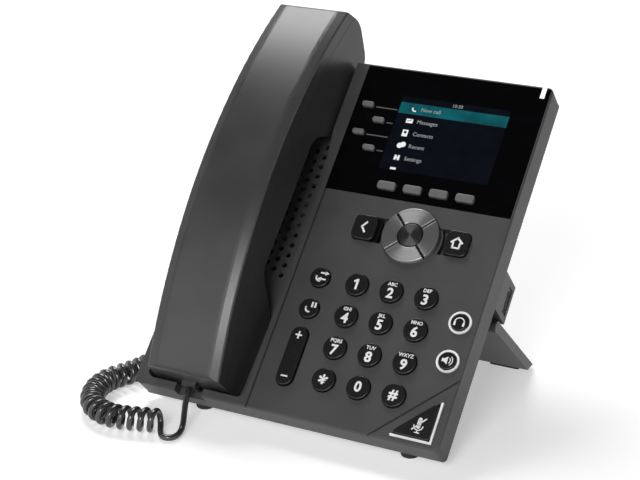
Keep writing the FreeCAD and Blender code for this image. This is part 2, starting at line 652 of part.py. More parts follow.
def rear_cover():
    """Back shell with the port bar, screw towers, board posts and hinge lugs."""
    outer = tapered_block(0, COVER_BACK_Z, -HOUSING_DEPTH, -HOUSING_DEPTH)
    slanted = [edge for edge in outer.Edges if edge.BoundBox.ZLength > COVER_DEPTH / 2]
    outer = outer.makeFillet(COVER_CORNER, slanted)
    bar_top = BAR_LOW_Y + BAR_HEIGHT
    bar = box(BAR_LEFT_X, BAR_RIGHT_X, BAR_LOW_Y, bar_top, BAR_BACK_Z, -HOUSING_DEPTH)
    outer = outer.fuse(bar).removeSplitter()
    wall = COVER_WALL
    cavity = tapered_block(wall, COVER_INNER_Z, -HOUSING_DEPTH, -HOUSING_DEPTH)
    bar_cavity = box(BAR_LEFT_X + wall, BAR_RIGHT_X - wall, BAR_LOW_Y + wall, bar_top - wall,
                     BAR_BACK_Z + wall, -HOUSING_DEPTH)
    shell = outer.cut(cavity.fuse(bar_cavity))

    additions = []
    for x, y in SCREW_SPOTS:
        additions.append(post(x, y, BOSS_RADIUS, COVER_BACK_Z, BOSS_END_Z))
    for offset, y in MAIN_POST_SPOTS:
        additions.append(post(KEYPAD_X + offset, y, POST_RADIUS, COVER_INNER_Z, MAIN_BOARD_UNDER_Z))
    for side in (-1, 1):
        additions.append(hinge_lug(side * LUG_SPREAD))
    shell = shell.fuse(additions)

    cuts = []
    for x, y in SCREW_SPOTS:
        cuts.append(post(x, y, SCREW_HOLE_RADIUS, COVER_BACK_Z, BOSS_END_Z))
        cuts.append(post(x, y, SCREW_HEAD_RADIUS + JACK_GAP / 2, COVER_BACK_Z, SCREW_SEAT_Z))
    pin_radius = HINGE_PIN_RADIUS + HINGE_PIN_GAP
    cuts.append(Part.makeCylinder(pin_radius, CONSOLE_WIDTH, V(-HALF_WIDTH, HINGE_Y, HINGE_Z), V(1, 0, 0)))
    for x in NET_JACKS_X:
        cuts.append(socket_space(x, NET_SOCKET_WIDTH, NET_SOCKET_HEIGHT, JACK_GAP))
    cuts.append(socket_space(HEADSET_JACK_X, MODULAR_SOCKET_HEIGHT, MODULAR_SOCKET_WIDTH, JACK_GAP))
    cuts.append(post(POWER_JACK_X, BAR_MIDDLE_Y, POWER_BORE_RADIUS + JACK_GAP, BAR_BACK_Z, JACK_MOUTH_Z))
    half = USB_WIDTH / 2 + JACK_GAP
    usb_low = USB_Z - USB_HEIGHT / 2 - JACK_GAP
    usb_high = USB_Z + USB_HEIGHT / 2 + JACK_GAP
    cuts.append(box(BAR_RIGHT_X - wall, BAR_RIGHT_X, BAR_MIDDLE_Y - half, BAR_MIDDLE_Y + half, usb_low, usb_high))
    cuts.append(side_socket_space(BAR_LEFT_X, BAR_LEFT_X + wall, JACK_GAP))
    return shell.cut(cuts).removeSplitter()


def socket_space(x, width, height, grow):
    """Aperture in the port bar's back wall in front of a socket."""
    half_w = width / 2 + grow
    half_h = height / 2 + grow
    return box(x - half_w, x + half_w, BAR_MIDDLE_Y - half_h, BAR_MIDDLE_Y + half_h, BAR_BACK_Z, JACK_MOUTH_Z)


def handset_port_z():
    """Height of the handset port at the port bar's left end."""
    return JACK_MOUTH_Z + MODULAR_HEIGHT / 2


def side_socket_space(x_low, x_high, grow):
    """Aperture in the port bar's left end for the handset cord's plug."""
    half_w = MODULAR_SOCKET_WIDTH / 2 + grow
    half_h = MODULAR_SOCKET_HEIGHT / 2 + grow
    z = handset_port_z()
    return box(x_low, x_high, BAR_MIDDLE_Y - half_w, BAR_MIDDLE_Y + half_w, z - half_h, z + half_h)


def hinge_lug(x):
    """Round-ended lug that hangs from the cover's back and holds the stand's pin."""
    half = LUG_WIDTH / 2
    base = box(x - half, x + half, HINGE_Y - LUG_RADIUS, HINGE_Y + LUG_RADIUS, HINGE_Z, COVER_BACK_Z)
    nose = Part.makeCylinder(LUG_RADIUS, LUG_WIDTH, V(x - LUG_WIDTH / 2, HINGE_Y, HINGE_Z), V(1, 0, 0))
    return base.fuse(nose).removeSplitter()


def case_screws():
    """Screws that hold the rear cover to the housing's bosses."""
    screws = []
    for x, y in SCREW_SPOTS:
        head = post(x, y, SCREW_HEAD_RADIUS, SCREW_SEAT_Z - SCREW_HEAD_HEIGHT, SCREW_SEAT_Z)
        cross = SCREW_HEAD_RADIUS / 3
        low = SCREW_SEAT_Z - SCREW_HEAD_HEIGHT
        slot_a = box(x - 2 * cross, x + 2 * cross, y - cross / 2, y + cross / 2, low, low + cross)
        slot_b = box(x - cross / 2, x + cross / 2, y - 2 * cross, y + 2 * cross, low, low + cross)
        shank = post(x, y, SCREW_RADIUS, SCREW_SEAT_Z, SCREW_TIP_Z)
        screws.append(head.cut(slot_a).cut(slot_b).fuse(shank).removeSplitter())
    return Part.makeCompound(screws)


# Inside the console

def display_window(keys):
    """Glossy window with holes for the soft keys, line keys and message light."""
    window = window_outline(WINDOW_GAP, WINDOW_UNDER_Z, 0)
    cuts = [message_light_space(WINDOW_GAP, WINDOW_UNDER_Z, 0)]
    for name, outline, place, height, under_z in keys:
        if under_z == WINDOW_UNDER_Z:
            cuts.append(outline(KEY_CLEARANCE, WINDOW_UNDER_Z, 0))
    return window.cut(cuts)


def lcd_module():
    """Display panel bonded to the back of the window."""
    return rounded_plate(KEYPAD_X, LCD_Y, LCD_WIDTH, LCD_HEIGHT, SMALL_CORNER,
                         WINDOW_UNDER_Z - LCD_THICKNESS, WINDOW_UNDER_Z)


def message_light():
    """Light strip that wraps the console's top edge."""
    return message_light_space(0, WINDOW_UNDER_Z, 0).removeSplitter()


def key_lights():
    """Light rings round the audio keys and the angled light beside the mute key."""
    lights = [audio_ring(y, 0, WINDOW_UNDER_Z, RING_HEIGHT) for y in AUDIO_KEYS_Y]
    lights.append(mute_light(0, WINDOW_UNDER_Z, RING_HEIGHT))
    return Part.makeCompound(lights)


def keypad_board_outline(margin, z_low, z_high):
    """Area of the keypad board, from the groove to the right wall."""
    left = GROOVE_X + GROOVE_WIDTH + margin
    right = HALF_WIDTH - SIDE_WALL - margin
    return box(left, right, SIDE_WALL + margin, CONSOLE_LENGTH - SIDE_WALL - margin, z_low, z_high)


def boss_clearances(z_low, z_high):
    """Holes that let the screw bosses through a board."""
    radius = BOSS_RADIUS + JACK_GAP
    return [post(x, y, radius, z_low, z_high) for x, y in SCREW_SPOTS]


def keypad_board():
    """Board under the keys, resting on the housing's posts."""
    low = KEYPAD_BOARD_Z - BOARD_THICKNESS
    board = keypad_board_outline(WINDOW_RIM, low, KEYPAD_BOARD_Z)
    return board.cut(boss_clearances(low, KEYPAD_BOARD_Z))


def keypad_mat(keys):
    """Rubber mat on the keypad board with a dome under each key."""
    low = KEYPAD_BOARD_Z
    mat = keypad_board_outline(BOARD_MARGIN / 2, low, MAT_TOP_Z)
    places = [place for name, outline, place, height, under_z in keys]
    places.append((KEYPAD_X, NAV_Y))
    for side in (-1, 1):
        y = ROCKER_Y + side * (ROCKER_LENGTH / 2 - ROCKER_WIDTH / 2)
        places.append((KEYPAD_X - FUNCTION_OFFSET, y))
    mat = mat.fuse([post(x, y, DOME_RADIUS, low, DOME_TOP_Z) for x, y in places])
    holes = [post(KEYPAD_X + offset, y, POST_RADIUS + JACK_GAP, low, MAT_TOP_Z) for offset, y in POST_SPOTS]
    return mat.cut(holes + boss_clearances(low, MAT_TOP_Z)).removeSplitter()


def main_board():
    """Board with the ports on its back and a tongue under the hook plunger."""
    low = MAIN_BOARD_UNDER_Z
    right = HALF_WIDTH - COVER_INSET - BOARD_MARGIN / 2
    left = GROOVE_X - BOARD_MARGIN
    top = CONSOLE_LENGTH - COVER_INSET - BOARD_MARGIN
    board = box(left, right, FACET_RUN + BOARD_MARGIN, top, low, MAIN_BOARD_Z)
    tongue_low = PLUNGER_Y - PLUNGER_WIDTH
    tongue = box(HANDSET_X - PLUNGER_WIDTH, left, tongue_low, PLUNGER_Y + PLUNGER_WIDTH, low, MAIN_BOARD_Z)
    return board.fuse(tongue).cut(boss_clearances(low, MAIN_BOARD_Z)).removeSplitter()


def loudspeaker():
    """Round loudspeaker fixed under the cradle grille: rim, cone basket and magnet."""
    rim_low = WELL_UNDER_Z - 2 * FLANGE_THICKNESS
    low = WELL_UNDER_Z - SPEAKER_DEPTH
    magnet_top = low + SPEAKER_DEPTH / 3
    rim = post(HANDSET_X, SPEAKER_Y, SPEAKER_RADIUS, rim_low, WELL_UNDER_Z)
    basket = Part.makeCone(MAGNET_RADIUS, SPEAKER_RADIUS - FACE_WALL, rim_low - magnet_top,
                           V(HANDSET_X, SPEAKER_Y, magnet_top))
    magnet = post(HANDSET_X, SPEAKER_Y, MAGNET_RADIUS, low, magnet_top)
    cone_space = Part.makeCone(MAGNET_RADIUS / 2, SPEAKER_RADIUS - 2 * FACE_WALL, WELL_UNDER_Z - magnet_top,
                               V(HANDSET_X, SPEAKER_Y, magnet_top))
    return rim.fuse([basket, magnet]).cut(cone_space).removeSplitter()


def network_jacks():
    """Two network jacks on the main board, facing out of the port bar's back."""
    jacks = []
    for x in NET_JACKS_X:
        half_w = NET_JACK_WIDTH / 2
        half_h = NET_JACK_HEIGHT / 2
        body = box(x - half_w, x + half_w, BAR_MIDDLE_Y - half_h, BAR_MIDDLE_Y + half_h,
                   JACK_MOUTH_Z, MAIN_BOARD_UNDER_Z)
        half_sw = NET_SOCKET_WIDTH / 2
        half_sh = NET_SOCKET_HEIGHT / 2
        space = box(x - half_sw, x + half_sw, BAR_MIDDLE_Y - half_sh, BAR_MIDDLE_Y + half_sh,
                    JACK_MOUTH_Z, JACK_MOUTH_Z + NET_SOCKET_DEPTH)
        jacks.append(body.cut(space))
    return Part.makeCompound(jacks)


def modular_jacks():
    """Handset port at the bar's left end and headset port in the bar's back."""
    z = handset_port_z()
    half_w = MODULAR_WIDTH / 2
    half_h = MODULAR_HEIGHT / 2
    x_mouth = BAR_LEFT_X + COVER_WALL
    body = box(x_mouth, x_mouth + MODULAR_DEPTH, BAR_MIDDLE_Y - half_w, BAR_MIDDLE_Y + half_w,
               z - half_h, z + half_h)
    handset_port = body.cut(side_socket_space(x_mouth, x_mouth + PLUG_LENGTH, 0))
    x = HEADSET_JACK_X
    body = box(x - half_h, x + half_h, BAR_MIDDLE_Y - half_w, BAR_MIDDLE_Y + half_w,
               JACK_MOUTH_Z, MAIN_BOARD_UNDER_Z)
    half_sw = MODULAR_SOCKET_HEIGHT / 2
    half_sh = MODULAR_SOCKET_WIDTH / 2
    space = box(x - half_sw, x + half_sw, BAR_MIDDLE_Y - half_sh, BAR_MIDDLE_Y + half_sh,
                JACK_MOUTH_Z, JACK_MOUTH_Z + PLUG_LENGTH)
    return Part.makeCompound([handset_port, body.cut(space)])


def power_jack():
    """Barrel power jack with its centre pin."""
    half = POWER_BODY / 2
    x = POWER_JACK_X
    body = box(x - half, x + half, BAR_MIDDLE_Y - half, BAR_MIDDLE_Y + half, JACK_MOUTH_Z, MAIN_BOARD_UNDER_Z)
    bore_end = JACK_MOUTH_Z + PLUG_LENGTH
    body = body.cut(post(x, BAR_MIDDLE_Y, POWER_BORE_RADIUS, JACK_MOUTH_Z, bore_end))
    pin = post(x, BAR_MIDDLE_Y, POWER_PIN_RADIUS, JACK_MOUTH_Z + COVER_WALL, bore_end)
    return body.fuse(pin).removeSplitter()


def usb_port():
    """USB receptacle in the port bar's right end: metal shell and tongue."""
    right = BAR_RIGHT_X - EDGE_RADIUS
    left = right - USB_LENGTH
    half = USB_WIDTH / 2
    low = USB_Z - USB_HEIGHT / 2
    high = USB_Z + USB_HEIGHT / 2
    shell = box(left, right, BAR_MIDDLE_Y - half, BAR_MIDDLE_Y + half, low, high)
    space = box(left + FACE_WALL, right, BAR_MIDDLE_Y - half + USB_SHELL, BAR_MIDDLE_Y + half - USB_SHELL,
                low + USB_SHELL, high - USB_SHELL)
    tongue = box(left, right - FACE_WALL, BAR_MIDDLE_Y - half + FACE_WALL / 2, BAR_MIDDLE_Y + half - FACE_WALL / 2,
                 high - USB_SHELL - USB_TONGUE, high - USB_SHELL)
    return shell.cut(space).fuse(tongue).removeSplitter()


def plunger_shape(grow, z_low, z_high):
    """Outline of the hook plunger."""
    return rounded_plate(HANDSET_X, PLUNGER_Y, PLUNGER_WIDTH + 2 * grow, PLUNGER_DEPTH + 2 * grow,
                         SMALL_CORNER + grow, z_low, z_high)


def hook_plunger():
    """Plunger that the resting handset holds down; its flange stops under the cradle floor."""
    flange_top = WELL_UNDER_Z - PLUNGER_RISE - FLANGE_GAP
    flange_low = flange_top - PLUNGER_FLANGE
    head = plunger_shape(0, flange_low, WELL_FLOOR_Z + PLUNGER_SHY)
    return head.fuse(plunger_shape(FLANGE_LIP, flange_low, flange_top)).removeSplitter()


def console_feet():
    """Rubber feet under the level facet of the rear cover."""
    y = HOUSING_DEPTH * SIN_TILT + FOOT_SETBACK
    feet = []
    for x in FEET_X:
        foot = post(x, y, FOOT_RADIUS, 0, FOOT_HEIGHT)
        feet.append(foot.makeFillet(EDGE_RADIUS, edges_at_height(foot, 0)))
    return Part.makeCompound(feet)


# Folding stand

def stand_plate_local():
    """Stand drawn with its hinge on the x axis and the leg along -z."""
    half = HALF_WIDTH - STAND_MARGIN
    half_t = STAND_THICKNESS / 2
    reach = STAND_REACH + 2 * STAND_THICKNESS
    leg = box(-half, half, -half_t, half_t, -reach, 0)
    barrel = Part.makeCylinder(BARREL_RADIUS, 2 * half, V(-half, 0, 0), V(1, 0, 0))
    leg = leg.fuse(barrel)
    top = -WINDOW_FROM_HINGE
    low = top - WINDOW_LENGTH
    side = WINDOW_SPAN / 2
    corners = [(V(-side, -half_t, low), WINDOW_CORNER), (V(side, -half_t, low), WINDOW_CORNER),
               (V(side, -half_t, top), WINDOW_CORNER), (V(-side, -half_t, top), WINDOW_CORNER)]
    leg = leg.cut(Part.Face(rounded_wire(corners)).extrude(V(0, STAND_THICKNESS, 0)))
    slot_half = LUG_WIDTH / 2 + LUG_SLOT_GAP
    slot_reach = LUG_RADIUS + LUG_SLOT_GAP
    for sign in (-1, 1):
        x = sign * LUG_SPREAD
        leg = leg.cut(box(x - slot_half, x + slot_half, -slot_reach, slot_reach, -slot_reach, slot_reach))
        pin = Part.makeCylinder(HINGE_PIN_RADIUS, 2 * slot_half, V(x - slot_half, 0, 0), V(1, 0, 0))
        leg = leg.fuse(pin)
    return leg.removeSplitter()


def stand():
    """Leg leaned to its open stop and cut level above its feet."""
    leg = stand_plate_local()
    leg.rotate(V(0, 0, 0), V(1, 0, 0), STAND_LEAN_DEG)
    leg.translate(V(0, HINGE_Y, HINGE_Z))
    leg = stand_up(leg)
    above_feet = box(-CONSOLE_WIDTH, CONSOLE_WIDTH, -CONSOLE_LENGTH, 2 * CONSOLE_LENGTH,
                     STAND_FOOT_HEIGHT, CONSOLE_LENGTH)
    return leg.common(above_feet).removeSplitter()


def stand_foot_y():
    """Distance back to the middle of the leg's level end."""
    hinge = stand_up_point(0, HINGE_Y, HINGE_Z)
    slope = math.radians(90 - TILT_DEG - STAND_LEAN_DEG)
    return hinge.y + (hinge.z - STAND_FOOT_HEIGHT) / math.tan(slope)


def stand_feet():
    """Rubber strips under the leg's level end."""
    y = stand_foot_y()
    strips = []
    for sign in (-1, 1):
        strip = rounded_plate(sign * STAND_FEET_X, y, STAND_FOOT_LENGTH, STAND_FOOT_WIDTH, SMALL_CORNER,
                              0, STAND_FOOT_HEIGHT)
        strips.append(strip)
    return Part.makeCompound(strips)


# Handset

def handset_side():
    """Side outline of the handset: end walls, cups and grip underside; the arch trims its top."""
    low = HANDSET_LOW_Y
    top = HANDSET_TOP_Y
    high = ARCH_TOP_Z + HANDSET_WALL
    grip = GRIP_UNDERSIDE_Z
    corners = [
        ((low, high), 0), ((low, CUP_Z), MOUTH_CORNER), ((MOUTH_CUP_TOP_Y, CUP_Z), CUP_CORNER),
        ((MOUTH_CUP_TOP_Y + CUP_SLOPE, grip), GRIP_CORNER), ((EAR_CUP_LOW_Y - CUP_SLOPE, grip), GRIP_CORNER),
        ((EAR_CUP_LOW_Y, CUP_Z), CUP_CORNER), ((top - EAR_END_SLANT, CUP_Z), EAR_CORNER),
        ((top, EAR_SHOULDER_Z), EAR_SHOULDER_CORNER), ((top - EAR_TOP_SLANT, high), 0),
    ]
    outline = [(V(HANDSET_X - 2 * BASE_HALF, y, z), radius) for (y, z), radius in corners]
    return Part.Face(rounded_wire(outline))


def arch_section(inset):
    """Cross-section of the handset: crowned top with bevelled sides, flaring towards its base."""
    crown = ARCH_TOP_Z - inset
    flat = TOP_FLAT_HALF - inset
    top = TOP_HALF - inset
    base = BASE_HALF - inset
    corners = [(-flat, crown, 6), (flat, crown, 6), (top, crown - BEVEL_DROP, 1), (base, crown - BASE_DROP, 0),
               (base, crown - 2 * BASE_DROP, 0), (-base, crown - 2 * BASE_DROP, 0),
               (-base, crown - BASE_DROP, 0), (-top, crown - BEVEL_DROP, 1)]
    outline = [(V(HANDSET_X + x, ARCH_TOP_Y, z), radius) for x, z, radius in corners]
    return Part.Face(rounded_wire(outline))


def arch_cylinder(radius):
    """Cylinder about the axis of the handset's arched top."""
    width = 4 * BASE_HALF
    return Part.makeCylinder(radius, width, V(HANDSET_X - width / 2, ARCH_TOP_Y, ARCH_CENTRE_Z), V(1, 0, 0))


def handset_form(inset):
    """Whole handset, drawn in from its outer surface by an inset."""
    side = handset_side()
    if inset:
        side = side.makeOffset2D(-inset)
    block = side.extrude(V(4 * BASE_HALF, 0, 0)).common(arch_cylinder(ARCH_RADIUS - inset))
    axis = V(HANDSET_X, ARCH_TOP_Y, ARCH_CENTRE_Z)
    ends = []
    for edge in block.Edges:
        middle = edge.CenterOfMass
        from_axis = math.hypot(middle.y - axis.y, middle.z - axis.z)
        if abs(from_axis - (ARCH_RADIUS - inset)) < 0.01 and edge.BoundBox.XLength > BASE_HALF:
            ends.append(edge)
    block = block.makeFillet(END_RADIUS - inset / 2, ends)
    spread = 70
    section = arch_section(inset)
    section.rotate(axis, V(1, 0, 0), -spread / 2)
    return block.common(section.revolve(axis, V(1, 0, 0), spread))


def handset_shells():
    """Outer and inner shell, parted along the arch."""
    hollow = handset_form(0).cut(handset_form(HANDSET_WALL))
    split = ARCH_RADIUS - SHELL_SPLIT
    outer = hollow.cut(arch_cylinder(split + SHELL_SEAM))
    inner = hollow.common(arch_cylinder(split))
    cuts = [handset_socket(HANDSET_LOW_Y, HANDSET_LOW_Y + HANDSET_WALL, JACK_GAP)]
    cuts.append(post(HANDSET_X, MICROPHONE_Y, SOUND_HOLE_RADIUS, CUP_Z, CUP_INNER_Z))
    cuts.append(post(HANDSET_X, RECEIVER_Y, SOUND_HOLE_RADIUS, CUP_Z, CUP_INNER_Z))
    for index in range(8):
        angle = 2 * math.pi * index / 8
        x = HANDSET_X + SOUND_RING_RADIUS * math.cos(angle)
        y = RECEIVER_Y + SOUND_RING_RADIUS * math.sin(angle)
        cuts.append(post(x, y, SOUND_HOLE_RADIUS, CUP_Z, CUP_INNER_Z))
    return outer.removeSplitter(), inner.cut(cuts).removeSplitter()


def handset_socket(y_low, y_high, grow):
    """Space for the plug in the handset's lower end."""
    half_w = MODULAR_SOCKET_WIDTH / 2 + grow
    half_h = MODULAR_SOCKET_HEIGHT / 2 + grow
    z = HANDSET_JACK_Z
    return box(HANDSET_X - half_w, HANDSET_X + half_w, y_low, y_high, z - half_h, z + half_h)


def handset_jack():
    """Jack behind the handset's lower end wall."""
    y = HANDSET_LOW_Y + HANDSET_WALL
    half_w = MODULAR_WIDTH / 2
    half_h = MODULAR_HEIGHT / 2
    z = HANDSET_JACK_Z
    body = box(HANDSET_X - half_w, HANDSET_X + half_w, y, y + MODULAR_DEPTH, z - half_h, z + half_h)
    return body.cut(handset_socket(y, y + PLUG_LENGTH, 0))


def handset_receiver():
    """Receiver capsule on the floor of the ear cup."""
    body = post(HANDSET_X, RECEIVER_Y, RECEIVER_RADIUS, CUP_INNER_Z, CUP_INNER_Z + RECEIVER_HEIGHT / 2)
    back = post(HANDSET_X, RECEIVER_Y, RECEIVER_RADIUS * 0.6, CUP_INNER_Z, CUP_INNER_Z + RECEIVER_HEIGHT)
    return body.fuse(back).removeSplitter()


def handset_microphone():
    """Microphone capsule on the floor of the mouth cup."""
    return post(HANDSET_X, MICROPHONE_Y, MICROPHONE_RADIUS, CUP_INNER_Z, CUP_INNER_Z + MICROPHONE_HEIGHT)


# Cord

def plug():
    """Modular plug drawn along +x from its cord end: body, latch tab and shoulder."""
    half_w = PLUG_WIDTH / 2
    half_h = PLUG_HEIGHT / 2
    body = box(0, PLUG_LENGTH, -half_w, half_w, -half_h, half_h)
    body = body.makeFillet(EDGE_RADIUS, [edge for edge in body.Edges if edge.BoundBox.XLength > PLUG_LENGTH / 2])
    latch = box(0, PLUG_PROUD, -half_w / 2, half_w / 2, -half_h - EDGE_RADIUS, -half_h)
    return body.fuse(latch).removeSplitter()


def handset_plug():
    """Plug in the handset's jack."""
    shape = plug()
    shape.rotate(V(0, 0, 0), V(0, 0, 1), 90)
    shape.translate(V(HANDSET_X, HANDSET_LOW_Y - PLUG_PROUD, HANDSET_JACK_Z))
    return shape


def console_plug():
    """Plug in the console's handset port."""
    shape = plug()
    shape.translate(V(BAR_LEFT_X - PLUG_PROUD, BAR_MIDDLE_Y, handset_port_z()))
    return shape


def curl_axis_curve():
    """Smooth line through the middle of the curls, lying on the desk."""
    height = CURL_DIAMETER / 2 + DESK_CLEARANCE
    poles = [V(x, y, height) for x, y in CURL_AXIS]
    spans = len(poles) - 2
    knots = [index / spans for index in range(spans + 1)]
    mults = [3] + [1] * (spans - 1) + [3]
    curve = Part.BSplineCurve()
    curve.buildFromPolesMultsKnots(poles, mults, knots, False, 2)
    return curve


def helix_point(curve, share):
    """Point of the left-handed helix at a share of the curls' length, starting at its lowest point."""
    parameter = curve.parameterAtDistance(share * curve.length(), 0)
    middle = curve.value(parameter)
    along = curve.tangent(parameter)[0]
    up = V(0, 0, 1)
    side = along.cross(up)
    turns = CURL_COUNT + 0.25
    angle = -math.pi / 2 + 2 * math.pi * turns * share
    return middle + side * (HELIX_RADIUS * math.cos(angle)) + up * (HELIX_RADIUS * math.sin(angle))


def helix_tangent(curve, share):
    """Direction of the helix there."""
    step = 1e-5
    before = helix_point(curve, max(share - step, 0))
    after = helix_point(curve, min(share + step, 1))
    return (after - before).normalize()


def arc_from_tangent(start, tangent, end):
    """Arc that leaves start along a tangent and ends at end."""
    chord = end - start
    half_turn = tangent.getAngle(chord)
    middle = (start + end) * 0.5
    outward = (start + tangent * chord.Length - middle)
    outward = outward - chord * (outward.dot(chord) / chord.dot(chord))
    bulge = chord.Length / 2 * math.tan(half_turn / 2)
    return Part.Arc(start, middle + outward.normalize() * bulge, end)


def biarc(start, start_dir, end, end_dir):
    """Two arcs that join two points along given directions."""
    chord = end - start
    total = start_dir + end_dir
    spread = 2 * (1 - start_dir.dot(end_dir))
    reach = (-chord.dot(total) + math.sqrt(chord.dot(total) ** 2 + spread * chord.dot(chord))) / spread
    joint = (start + start_dir * reach + end - end_dir * reach) * 0.5
    first = arc_from_tangent(start, start_dir, joint)
    second = arc_from_tangent(end, end_dir * -1, joint)
    return [first, second]


def tail_edges(points):
    """Straight runs joined by tangent arcs as large as the runs allow, with their radii."""
    edges = []
    radii = []
    start = points[0]
    for index in range(1, len(points) - 1):
        corner = points[index]
        back = points[index - 1] - corner
        ahead = points[index + 1] - corner
        reach = 0.45 * min(back.Length, ahead.Length)
        half_turn = (math.pi - back.getAngle(ahead)) / 2
        radius = reach / math.tan(half_turn)
        radii.append(radius)
        arc_start = corner + back.normalize() * reach
        arc_end = corner + ahead.normalize() * reach
        inward = (back + ahead).normalize()
        middle = corner + inward * (radius / math.cos(half_turn) - radius)
        edges.append(Part.makeLine(start, arc_start))
        edges.append(Part.Arc(arc_start, middle, arc_end).toShape())
        start = arc_end
    edges.append(Part.makeLine(start, points[-1]))
    return edges, radii


def tail_points():
    """Route points of the two straight tails, from each plug to the curls."""
    curve = curl_axis_curve()
    lead = WIRE_DIAMETER
    plug_end = stand_up_point(HANDSET_X, HANDSET_LOW_Y - PLUG_PROUD, HANDSET_JACK_Z)
    down_face = V(0, -COS_TILT, -SIN_TILT)
    curl_start = helix_point(curve, 0)
    start_dir = helix_tangent(curve, 0)
    handset_tail = [plug_end, plug_end + down_face * 2 * lead]
    handset_tail += [V(*point) for point in HANDSET_TAIL]
    handset_tail += [curl_start - start_dir * HANDSET_TAIL_LEAD, curl_start]
    port = stand_up_point(BAR_LEFT_X - PLUG_PROUD, BAR_MIDDLE_Y, handset_port_z())
    curl_end = helix_point(curve, 1)
    end_dir = helix_tangent(curve, 1)
    console_tail = [curl_end, curl_end + end_dir * CONSOLE_TAIL_LEAD]
    console_tail += [V(*point) for point in CONSOLE_TAIL]
    console_tail += [port - V(2 * lead, 0, 0), port]
    return handset_tail, console_tail


def least_self_gap(samples):
    """Smallest clear gap between parts of the wire that aren't neighbours along it."""
    least = CURL_DIAMETER
    skip = 2 * WIRE_DIAMETER
    travelled = [0.0]
    for index in range(1, len(samples)):
        travelled.append(travelled[-1] + samples[index].distanceToPoint(samples[index - 1]))
    for index, point in enumerate(samples):
        for other in range(index + 1, len(samples)):
            apart = travelled[other] - travelled[index]
            if apart > skip and apart < 3 * math.pi * CURL_DIAMETER:
                least = min(least, point.distanceToPoint(samples[other]) - WIRE_DIAMETER)
    return least


def handset_cord():
    """One unbroken wire from plug to plug: a tail, the curls and another tail."""
    curve = curl_axis_curve()
    handset_tail, console_tail = tail_points()
    first, first_radii = tail_edges(handset_tail)
    last, last_radii = tail_edges(console_tail)
    quarters = int(4 * CURL_COUNT) + 1
    edges = list(first)
    for quarter in range(quarters):
        low = quarter / quarters
        high = (quarter + 1) / quarters
        arcs = biarc(helix_point(curve, low), helix_tangent(curve, low),
                     helix_point(curve, high), helix_tangent(curve, high))
        edges += [arcs[0].toShape(), arcs[1].toShape()]
    edges += last
    path = Part.Wire(Part.__sortEdges__(edges))
    heading = handset_tail[1] - handset_tail[0]
    ring = Part.Wire(Part.makeCircle(WIRE_DIAMETER / 2, handset_tail[0], heading))
    sweep = Part.BRepOffsetAPI.MakePipeShell(path)
    sweep.add(ring)
    sweep.build()
    sweep.makeSolid()
    tube = sweep.shape()
    expected = math.pi * WIRE_DIAMETER ** 2 / 4 * path.Length
    samples = path.discretize(Number=40 * CURL_COUNT)
    print("tail radii", [round(radius, 1) for radius in first_radii], [round(radius, 1) for radius in last_radii])
    print("cord length %.0f, pitch %.2f" % (path.Length, curve.length() / CURL_COUNT))
    print("cord volume over section times length %.4f" % (tube.Volume / expected))
    print("least gap of the cord to itself %.2f" % least_self_gap(samples))
    return tube


# Assembly

def build():
    """All pieces by name, standing on the desk."""
    keys = key_table()
    flat = {
        "front_housing": front_housing(keys), "rear_cover": rear_cover(), "display_window": display_window(keys),
        "lcd_module": lcd_module(), "message_light": message_light(), "key_lights": key_lights(),
        "keypad_board": keypad_board(), "keypad_mat": keypad_mat(keys), "main_board": main_board(),
        "loudspeaker": loudspeaker(), "network_jacks": network_jacks(), "modular_jacks": modular_jacks(),
        "power_jack": power_jack(), "usb_port": usb_port(), "case_screws": case_screws(),
        "hook_plunger": hook_plunger(), "select_key": select_key(), "volume_rocker": volume_rocker(),
        "handset_jack": handset_jack(), "handset_receiver": handset_receiver(),
        "handset_microphone": handset_microphone(), "handset_plug": handset_plug(), "console_plug": console_plug(),
    }
    flat["handset_outer_shell"], flat["handset_inner_shell"] = handset_shells()
    for name, outline, place, height, under_z in keys:
        flat[name] = pressed_key(outline, place, height, under_z)
    pieces = {name: stand_up(shape) for name, shape in flat.items()}
    pieces["console_feet"] = console_feet()
    pieces["stand"] = stand()
    pieces["stand_feet"] = stand_feet()
    pieces["handset_cord"] = handset_cord()
    return pieces


def centre_shift(pieces):
    """Shift that brings the middle of the object, without its cord, over the origin."""
    cord_names = ("handset_cord", "handset_plug", "console_plug")
    boxes = [shape.optimalBoundingBox(False, False) for name, shape in pieces.items() if name not in cord_names]
    middle_x = (min(bounds.XMin for bounds in boxes) + max(bounds.XMax for bounds in boxes)) / 2
    middle_y = (min(bounds.YMin for bounds in boxes) + max(bounds.YMax for bounds in boxes)) / 2
    return V(-middle_x, -middle_y, 0)


def main():
    """Write one file for each piece."""
    os.makedirs("parts", exist_ok=True)
    pieces = build()
    shift = centre_shift(pieces)
    print("shift to the middle", round(shift.x, 3), round(shift.y, 3))
    for name, shape in pieces.items():
        shape.translate(shift)
        shape.exportStep("parts/" + name + ".step")


main()
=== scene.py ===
"""Dresses the desk phone: materials, legends, display picture, curly cord, light and camera."""
import json
import math

